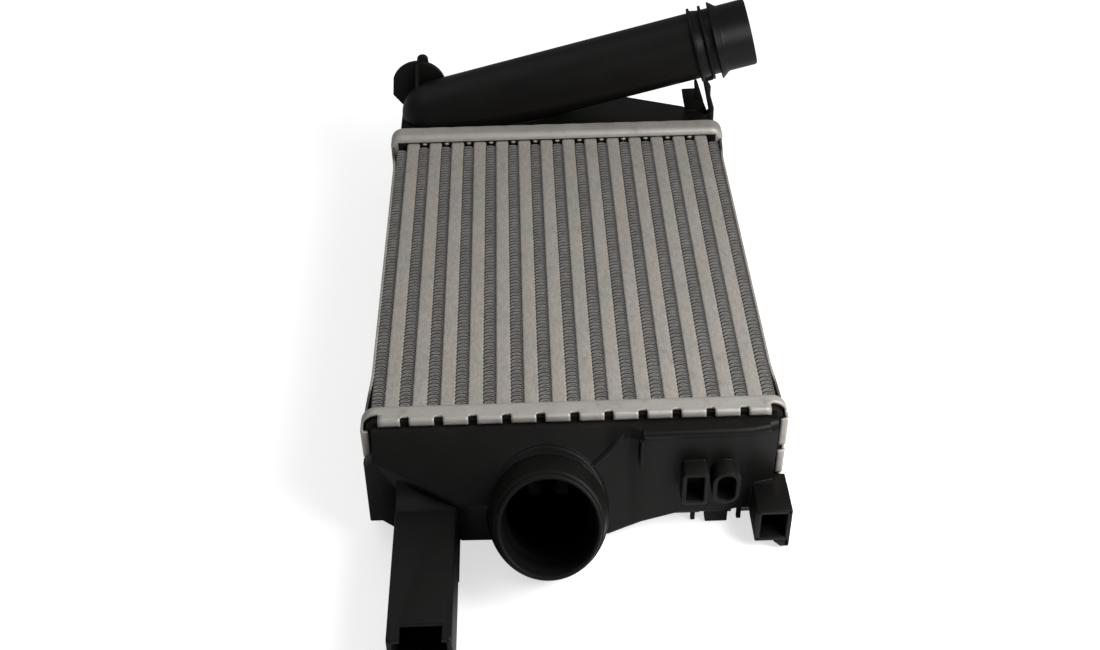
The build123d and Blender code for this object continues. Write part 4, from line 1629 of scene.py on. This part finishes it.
    def boss_shape(self) -> Shape:
        """Draws the boss that the neck stands on.

        Returns:
            The boss, a little taller than it is wide.
        """
        place = self.plane()
        stretch = self.boss_tall / self.boss
        rows = []
        for grow, level in reversed(self.boss_rim):
            rows.append([place(u, v, level - self.neck_length)
                         for u, v in circle(self.boss + grow, self.turned_steps, stretch)])
        shape = Shape()
        shape.grid(rows, caps=True)
        return shape

    def socket(self, workshop: Workshop) -> list[bpy.types.Object]:
        """Makes the neck and the boss that it stands on.

        Args:
            workshop: Workshop that makes the pieces.

        Returns:
            The boss and the neck, cut off at the floor and inside the tank.
        """
        base = workshop.thing("boss", self.boss_shape())
        workshop.carve(base, self.bore_cutter(workshop))
        pipe = workshop.thing("neck", self.neck_shape())
        workshop.carve(pipe, self.clip_groove(workshop))
        for part in (base, pipe):
            workshop.trim(part, Vector((0, 0, self.socket_floor)), Vector((0, 0, -1)))
            workshop.trim(part, Vector((0, self.socket_back, 0)), Vector((0, 1, 0)))
        return [base, pipe]

    def bore_cutter(self, workshop: Workshop) -> bpy.types.Object:
        """Makes the cutter of the way through the front wall.

        Args:
            workshop: Workshop that makes it.

        Returns:
            The cutter, clear of the floor and of the flange.
        """
        bore = Shape()
        radius = self.throat + self.bore_play
        bore.lathe([(radius, 5.0), (radius, -self.root)], self.plane(), self.turned_steps, closed=False)
        cutter = workshop.thing("bore", bore)
        workshop.trim(cutter, Vector((0, 0, self.bore_floor)), Vector((0, 0, -1)))
        workshop.trim(cutter, Vector((0, self.bore_back, 0)), Vector((0, 1, 0)))
        return cutter

    def clip_groove(self, workshop: Workshop) -> bpy.types.Object:
        """Makes the cutter of the groove round the upper half of the neck.

        Args:
            workshop: Workshop that makes it.

        Returns:
            The cutter, in two halves that leave a bridge between them.
        """
        place = self.plane()
        low = -self.neck_length
        section = rectangle(*self.groove, low, low + self.groove_width)
        shape = Shape()
        for start, end in self.groove_turns:
            rows = []
            for i in range(self.groove_steps + 1):
                turn = math.radians(blend_between(start, end, i / self.groove_steps))
                rows.append([place(radius * math.cos(turn), radius * math.sin(turn), level)
                             for radius, level in section])
            shape.grid(rows, caps=True)
        return workshop.thing("groove", shape)

    def ridge(self) -> Shape:
        """Draws the curved ridge from the boss up to the flange.

        Returns:
            The ridge.
        """
        first, last, lean = Vector(self.ridge_start), Vector(self.ridge_end), Vector(self.ridge_lean)
        path = []
        for i in range(self.ridge_steps + 1):
            share = i / self.ridge_steps
            path.append(first.lerp(last, share) + lean * (self.ridge_bow * math.sin(math.pi * share)))
        shape = Shape()
        shape.cord(path, self.ridge_radius)
        return shape

    def arm(self) -> Shape:
        """Draws the box-section arm.

        Returns:
            The arm, with an open tip, a notched top plate and a longer floor.
        """
        left, right = self.arm_sides
        notch_left, notch_right = self.arm_notch
        top, wall, cut = self.arm_top, self.arm_wall, self.arm_chamfer
        tip, root = self.arm_tip, self.arm_root
        floor = top - self.arm_tall
        notch_end = tip + self.arm_notch_depth
        floor_tip = tip - self.arm_tongue
        shape = Shape()
        plan = [(left, root), (left, tip + cut), (left + cut, tip), (notch_left, tip),
                (notch_left, notch_end), (notch_right, notch_end), (notch_right, tip),
                (right - cut, tip), (right, tip + cut), (right, root)]
        shape.slab(plan, top - wall, top, across_z, 0.7)
        plan = [(left, root), (left, floor_tip + 1.0), (left + 1.0, floor_tip),
                (right - 1.0, floor_tip), (right, floor_tip + 1.0), (right, root)]
        shape.slab(plan, floor, floor + wall, across_z, 0.7)
        side_view = rectangle(tip, root, floor + 0.6, top - 0.6)
        shape.slab(side_view, left, left + wall, across_x, 0.6)
        shape.slab(side_view, right - wall, right, across_x, 0.6)
        heel_floor, heel_tip = self.arm_heel
        shape.slab(rectangle(left, right, heel_floor, floor + 1), heel_tip, root, across_y, 0.8)
        gusset = [(-149.0, 7.8), (-151.3, 6.8), (-153.0, 4.5), (-156.0, 2.0), (-160.0, 0.7),
                  (-165.5, 0.0), (-149.0, 0.0)]
        shape.slab([(y, top + rise) for y, rise in gusset], left + 0.2, right - 0.2, across_x, 0.3)
        plug = rectangle(left + 0.4, right - 0.4, floor + 0.5, top - 0.5)
        shape.slab(plug, self.arm_plug, root, across_y, 0.4)
        return shape

    def lug(self) -> Shape:
        """Draws the flat lug at the left end, against the header's tabs.

        Returns:
            The lug's base and its cap.
        """
        base = [(-105.5, -26.5), (-96.0, -26.5), (-86.0, -32.0), (-86.0, 13.0), (-105.5, 13.0)]
        cap = [(-104.6, -21.5), (-98.4, -21.5), (-92.5, -27.0), (-88.6, -27.0), (-88.6, 15.2),
               (-99.8, 19.8), (-104.2, 15.5)]
        base_depth, cap_depth = self.lug_depths
        shape = Shape()
        shape.slab(rounded(base, 1.2, 3), self.face - base_depth, self.face, across_y, 0.5)
        shape.slab(rounded(cap, 0.8, 3), self.face - cap_depth, self.face - base_depth + 1.0, across_y, 0.6)
        return shape

    def bracket(self) -> Shape:
        """Draws the small box bracket at the right end.

        Returns:
            The bracket, open at its tip.
        """
        shape = Shape()
        base = [(89.3, -29.5), (98.2, -29.5), (102.7, -34.0), (107.0, -34.0), (107.0, -8.0), (89.3, -8.0)]
        shape.slab(rounded(base, 1.0, 3), self.bracket_base, self.face, across_y, 0.5)
        walls = (rectangle(89.3, 107.0, -10.4, -8.0), rectangle(89.3, 91.7, -29.5, -8.4),
                 rectangle(104.6, 107.0, -34.0, -8.4), rectangle(89.7, 106.0, -29.5, -27.1),
                 [(98.2, -29.5), (102.7, -34.0), (106.6, -34.0), (106.6, -29.0)])
        for wall in walls:
            shape.slab(rounded(wall, 0.5, 2), self.bracket_tip, self.bracket_base + 0.5, across_y, 0.5)
        return shape

    def pads(self) -> Shape:
        """Draws the square and the round hollow pad on the flat panel.

        Returns:
            Both pads.
        """
        shape = Shape()
        bottom = self.panel_front() + self.pad_sink
        top = self.panel_front() - self.pad_rise
        low, high = self.pad_level - self.pad_half, self.pad_level + self.pad_half
        for x, width, corner in self.pad_forms:
            left, right = x - width / 2, x + width / 2
            outer, inner = (
                rounded(rectangle(left + cut, right - cut, low + cut, high - cut),
                        max(self.pad_least_corner, corner - cut), self.pad_steps)
                for cut in (0.0, self.pad_wall))
            levels = [(outer, bottom, 0.0), (outer, top + 0.7, 0.0), (outer, top + 0.2, 0.2),
                      (outer, top, 0.6), (inner, top, -0.5), (inner, top + 0.4, 0.0), (inner, bottom, 0.0)]
            rows = [[across_y(u, v, level) for u, v in inset(outline, cut)]
                    for outline, level, cut in levels]
            shape.grid(rows, round_rows=True)
        return shape

    def beads(self) -> Shape:
        """Draws the beads along the panel's top edge and up the step beside it.

        Returns:
            Both beads.
        """
        front = self.panel_front()
        shares = [i / self.bead_steps for i in range(self.bead_steps + 1)]
        edge = [Vector((blend_between(*self.panel, share), front + self.bead_sink, self.bead_top))
                for share in shares]
        edge += [Vector((86.0, front + 2.9, self.bead_top)), Vector((95.5, front + 5.0, 29.0))]
        (start_x, start_z), (end_x, end_z) = self.step_start, self.step_end
        step = [Vector((blend_between(start_x, end_x, share), front, blend_between(start_z, end_z, share)))
                for share in shares]
        shape = Shape()
        shape.cord(edge, self.bead_radius, 14)
        shape.cord(step, self.step_radius, 12)
        return shape

    def clip(self) -> Shape:
        """Draws the harness clip under the panel.

        Returns:
            Its block and its two pins.
        """
        shape = Shape()
        middle = self.panel_front() + self.clip_sink
        for x, half, depth in self.clip_forms:
            outline = rectangle(x - half, x + half, middle - depth, middle + depth)
            shape.slab(outline, *self.clip_levels, across_z, 0.8)
        return shape

    def build(self, workshop: Workshop, material: bpy.types.Material) -> None:
        """Makes the tank as one moulding.

        Args:
            workshop: Workshop that makes the piece.
            material: Its finish.
        """
        shell = TankShell(self.stations(), Side.LOW)
        tank = workshop.thing("inlet_tank", shell.shape())
        workshop.carve(tank, self.bore_cutter(workshop))
        parts = self.socket(workshop)
        for name, shape in (("flange", shell.flange()), ("ridge", self.ridge()), ("arm", self.arm()),
                            ("lug", self.lug()), ("bracket", self.bracket()), ("pads", self.pads()),
                            ("beads", self.beads()), ("clip", self.clip())):
            parts.append(workshop.thing(name, shape))
        workshop.join(tank, parts)
        workshop.present(tank, ["near_tank"], Slot.TANK, material, crease=32.0)


@dataclass
class FarTank:
    """Outlet tank with its rising pipe, spigot, locating pin, strut and clip plate."""

    start: Triple = (-79.0, 160.0, 32.6)
    rise: float = 14.57
    radius: float = 20.8
    bore: float = 18.0
    bore_end: float = 2.0
    length: float = 209.5
    elbow_steps: int = 12
    turned_steps: int = 96
    collar: float = 23.5
    collar_rings: tuple[Flat, Flat] = ((173.2, 21.8), (180.4, 20.8))
    rib: float = 24.4
    rib_start: float = 186.2
    latch_plan: tuple[float, float, float, float] = (-7.5, 7.5, 175.0, 180.4)
    latch_levels: Flat = (-23.4, -20.0)
    pin_at: Triple = (-89.0, 176.0, 43.0)
    pin_radius: float = 3.2
    pin_length: float = 31.5
    disc_middle: Flat = (-88.7, 43.4)
    disc_radius: float = 17.6
    disc_turns: tuple[int, int, int] = (-90, 170, 10)
    strut_levels: Flat = (151.0, 155.0)
    plate_levels: Flat = (155.5, 157.5)
    finger_grow: float = 0.3

    def stations(self) -> list[Station]:
        """Lists the sections that shape the tank body.

        Returns:
            The sections, from the left end to the right end.
        """
        return [
            Station(-100.0, 46.0, (52.0, 24.0), 52.0), Station(-58.0, 52.0, (58.0, 24.0), 58.0),
            Station(47.0, 52.0, (58.0, 24.0), 58.0), Station(83.0, 38.0, (44.0, 24.0), 44.0),
            Station(100.0, 25.0, (31.0, 24.0), 31.0)]

    def plane(self) -> Placing:
        """Placing across the pipe, with levels along it from the elbow."""
        turn = math.radians(self.rise)
        return tilted(self.start, (0, 1, 0), (math.cos(turn), 0, math.sin(turn)))

    def pipe(self) -> Shape:
        """Turns the pipe with its domed elbow, its collar and its rib.

        Returns:
            The pipe, with an open end.
        """
        outer, ring, rib, end = self.radius, self.collar, self.rib, self.length
        profile: list[Flat] = []
        for i in range(self.elbow_steps + 1):
            turn = math.pi / 2 * i / self.elbow_steps
            profile.append((outer * math.sin(turn) + TIP, -outer * math.cos(turn)))
        for start, waist in self.collar_rings:
            profile += [(outer, start - 0.3), (ring - 0.3, start), (ring, start + 0.3), (ring, start + 1.5),
                        (ring - 0.3, start + 1.8), (waist, start + 1.9)]
        for radius, level in ((outer, 0.0), (rib - 0.5, 0.1), (rib, 0.5), (rib - 0.2, 1.1),
                              (outer + 0.4, 4.8), (outer, 5.8)):
            profile.append((radius, self.rib_start + level))
        profile += [(outer, end - 1.4), (outer - 0.4, end - 0.4), (outer - 1.2, end),
                    (self.bore + 0.5, end), (self.bore, end - 0.6), (self.bore, self.bore_end),
                    (TIP, self.bore_end)]
        shape = Shape()
        shape.lathe(profile, self.plane(), self.turned_steps, closed=False)
        return shape

    def latch(self) -> Shape:
        """Draws the latch boss on top of the collar.

        Returns:
            The boss.
        """
        place = self.plane()

        def turned(u: float, v: float, level: float) -> Vector:
            """Places an outline that lies along the pipe."""
            return place(u, level, v)

        shape = Shape()
        shape.slab(rounded(rectangle(*self.latch_plan), 0.8, 3), *self.latch_levels, turned, 0.4)
        return shape

    def pin(self) -> Shape:
        """Draws the locating pin with its disc, its lobe and its web behind the elbow.

        Returns:
            All four.
        """
        radius, length = self.pin_radius, self.pin_length
        shape = Shape()
        profile = [(TIP, 1.0), (radius + 2.2, 1.0), (radius + 2.2, 3.0), (radius + 1.2, 3.0),
                   (radius + 0.2, 3.4), (radius, 4.2), (radius, length - 1.2), (radius - 1.0, length),
                   (TIP, length)]
        shape.lathe(profile, tilted(self.pin_at, (1, 0, 0), (0, 1, 0)), 64, closed=False)
        x, z = self.disc_middle
        turns = [math.radians(degrees) for degrees in range(*self.disc_turns)]
        disc = [(x + self.disc_radius * math.cos(t), z + self.disc_radius * math.sin(t)) for t in turns]
        disc += [(-106.4, 37.5), (-98.8, 27.6)]
        shape.slab(disc, 176.0, 179.0, across_y, 0.4)
        lobe = [(-89.6, 52.0), (-81.2, 52.0), (-82.0, 65.1), (-88.8, 65.1)]
        shape.slab(rounded(lobe, [0.0, 0.0, 3.2, 3.4], 5), 176.6, 180.0, across_y, 0.8)
        web = [(160.0, 32.6), (177.0, 32.6), (177.0, 60.0), (174.5, 60.3), (160.0, 51.0)]
        shape.slab(web, -90.1, -87.9, across_x, 0.4)
        return shape

    def strut(self) -> Shape:
        """Draws the post between the tank and the underside of the collar.

        Returns:
            The post.
        """
        outline = [(97.5, 20.0), (103.0, 20.0), (102.8, 35.2), (100.0, 44.8), (99.9, 51.0), (97.9, 54.0),
                   (96.6, 60.5), (92.6, 60.5), (94.9, 54.0), (99.4, 33.5), (97.5, 30.0)]
        shape = Shape()
        shape.slab(rounded(outline, 0.4, 2), *self.strut_levels, across_y, 0.4)
        return shape

    def clip_plate(self) -> Shape:
        """Draws the upright plate with a finger on its right edge.

        Returns:
            The plate and its finger.
        """
        plate = [(85.5, 27.0), (100.0, 27.0), (98.7, 31.5), (92.2, 47.2), (81.6, 46.9), (82.6, 41.0)]
        finger = [(90.2, 40.0), (96.3, 38.0), (91.9, 51.6), (91.2, 53.2), (89.9, 53.3), (89.5, 52.0),
                  (90.2, 46.0)]
        front, back = self.plate_levels
        shape = Shape()
        shape.slab(rounded(plate, 0.6, 3), front, back, across_y, 0.4)
        shape.slab(finger, front - self.finger_grow, back + self.finger_grow, across_y, 0.3)
        return shape

    def build(self, workshop: Workshop, material: bpy.types.Material) -> None:
        """Makes the tank as one moulding.

        Args:
            workshop: Workshop that makes the piece.
            material: Its finish.
        """
        shell = TankShell(self.stations(), Side.HIGH)
        tank = workshop.thing("outlet_tank", shell.shape())
        parts = []
        for name, shape in (("flange", shell.flange()), ("pipe", self.pipe()), ("latch", self.latch()),
                            ("pin", self.pin()), ("strut", self.strut()), ("plate", self.clip_plate())):
            parts.append(workshop.thing(name, shape))
        workshop.join(tank, parts)
        workshop.present(tank, ["far_tank"], Slot.TANK, material, crease=32.0)


# ---------------------------------------------------------------- seals, turbulators
@dataclass
class KeptPieces:
    """Seals and turbulators, which keep the part's own meshes under a finish."""

    rubber: bpy.types.Material
    strip: bpy.types.Material

    def dress(self) -> None:
        """Gives every seal the rubber and every turbulator the strip."""
        for name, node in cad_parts.items():
            if name.endswith("seal") or name.startswith("turbulator"):
                node.data.materials.clear()
                # The turbulators' strip finish is painted nearly black as shade.
                node.data.materials.append(self.rubber if name.endswith("seal") else self.strip)
                LOG.info("%s: kept, with a finish", name)


# -------------------------------------------------------------------------- studio
@dataclass(frozen=True)
class Lamp:
    """Square soft lamp, with its places in metres from the middle of the core."""

    name: str
    place: Triple
    target: Triple
    size: float
    power: float

    def hang(self, middle: Vector) -> None:
        """Hangs the lamp so that it faces its target.

        Args:
            middle: Middle of the core, in metres.
        """
        data = bpy.data.lights.new(self.name, "AREA")
        data.size = self.size
        data.energy = self.power
        item = bpy.data.objects.new(self.name, data)
        place, target = middle + Vector(self.place), middle + Vector(self.target)
        item.location = place
        item.rotation_euler = (target - place).to_track_quat("-Z", "Y").to_euler()
        bpy.context.scene.collection.objects.link(item)


@dataclass
class Studio:
    """Floor, lamps, background and camera."""

    floor_size: float = 8.0
    lamps: tuple[Lamp, ...] = (
        Lamp("key", (0.42, -0.33, 0.45), (0.03, -0.12, 0.0), 0.40, 4.5),
        Lamp("fill", (-0.6, 0.35, 1.3), (0.0, 0.0, 0.0), 1.2, 3.0))
    ambient: float = 0.26
    eye: Triple = (-20.0, -636.5, 505.5)
    elevation: float = 39.447
    yaw: float = -0.766
    roll: float = -1.743
    lens: float = 45.82
    sensor: float = 36.0
    nearest: float = 0.01

    def floor(self) -> None:
        """Lays the floor that the part rests on."""
        half = self.floor_size / 2
        corners = [(x, y, 0) for x, y in rectangle(-half, half, -half, half)]
        data = bpy.data.meshes.new("studio_floor")
        data.from_pydata(corners, [], [(0, 1, 2, 3)])
        item = bpy.data.objects.new("studio_floor", data)
        bpy.context.scene.collection.objects.link(item)
        data.materials.append(PaleFloor().make())

    def world(self) -> None:
        """Lights the surroundings evenly, and shows them white to the camera and through glass."""
        world = bpy.data.worlds.new("studio")
        bpy.context.scene.world = world
        world.use_nodes = True
        tree = world.node_tree
        tree.nodes.clear()
        output = tree.nodes.new("ShaderNodeOutputWorld")
        dim = tree.nodes.new("ShaderNodeBackground")
        bright = tree.nodes.new("ShaderNodeBackground")
        rays = tree.nodes.new("ShaderNodeLightPath")
        seen = tree.nodes.new("ShaderNodeMath")
        seen.operation = "MAXIMUM"
        mix = tree.nodes.new("ShaderNodeMixShader")
        dim.inputs["Strength"].default_value = self.ambient
        for source, target in ((rays.outputs["Is Camera Ray"], seen.inputs[0]),
                               (rays.outputs["Is Transmission Ray"], seen.inputs[1]),
                               (seen.outputs["Value"], mix.inputs["Fac"]),
                               (dim.outputs["Background"], mix.inputs[1]),
                               (bright.outputs["Background"], mix.inputs[2]),
                               (mix.outputs["Shader"], output.inputs["Surface"])):
            tree.links.new(source, target)

    def camera(self, workshop: Workshop) -> None:
        """Sets the camera at its viewing angle.

        Args:
            workshop: Workshop that knows the middle of the core.
        """
        turn = math.radians(self.elevation)
        right = Vector((1, 0, 0))
        ahead = Vector((0, math.cos(turn), -math.sin(turn)))
        rows = (Matrix.Rotation(math.radians(self.roll), 3, "Z")
                @ Matrix.Rotation(math.radians(self.yaw), 3, "Y")
                @ Matrix((right, ahead.cross(right), ahead)))
        axes = Matrix((rows[0], -rows[1], -rows[2])).transposed().to_4x4()
        data = bpy.data.cameras.new("camera")
        data.lens = self.lens
        data.sensor_width = self.sensor
        data.clip_start = self.nearest
        item = bpy.data.objects.new("camera", data)
        item.matrix_world = Matrix.Translation(workshop.origin + Vector(self.eye) * MILLIMETRE) @ axes
        bpy.context.scene.collection.objects.link(item)
        bpy.context.scene.camera = item

    def build(self, workshop: Workshop) -> None:
        """Sets up the whole studio.

        Args:
            workshop: Workshop that knows the middle of the core.
        """
        self.floor()
        self.world()
        for lamp in self.lamps:
            lamp.hang(workshop.origin)
        self.camera(workshop)
        bpy.context.scene.view_settings.view_transform = "Standard"


def main() -> None:
    """Builds every sub-assembly in order and reports the pieces."""
    logging.basicConfig(level=logging.INFO, format="%(name)s: %(message)s")
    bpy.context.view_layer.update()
    workshop = Workshop.about_core()
    inlet = NearTank()
    mouth = workshop.origin + Vector(inlet.socket_at) * MILLIMETRE
    tube_metal, fin_metal, header_metal, turbulator_shade_metal = (
        finish.make(workshop.origin) for finish in (TUBE_SHEET, FIN_SHEET, HEADER_SHEET, TURBULATOR_SHADE_SHEET))
    plastic = Moulding("tank_moulding").make(mouth, inlet.plane()(0, 0, 1) - inlet.plane()(0, 0, 0))
    TubeBank().build(workshop, tube_metal)
    FinPack().build(workshop, fin_metal)
    SidePlate().build(workshop, tube_metal)
    Header().build(workshop, header_metal, Side.LOW)
    Header(notch_start=11.9, corner_root=11.4).build(workshop, header_metal, Side.HIGH)
    inlet.build(workshop, plastic)
    FarTank().build(workshop, plastic)
    KeptPieces(Rubber().make(), turbulator_shade_metal).dress()
    Studio().build(workshop)
    LOG.info("%d pieces made", len(workshop.made))


if __name__ == "__main__":
    main()
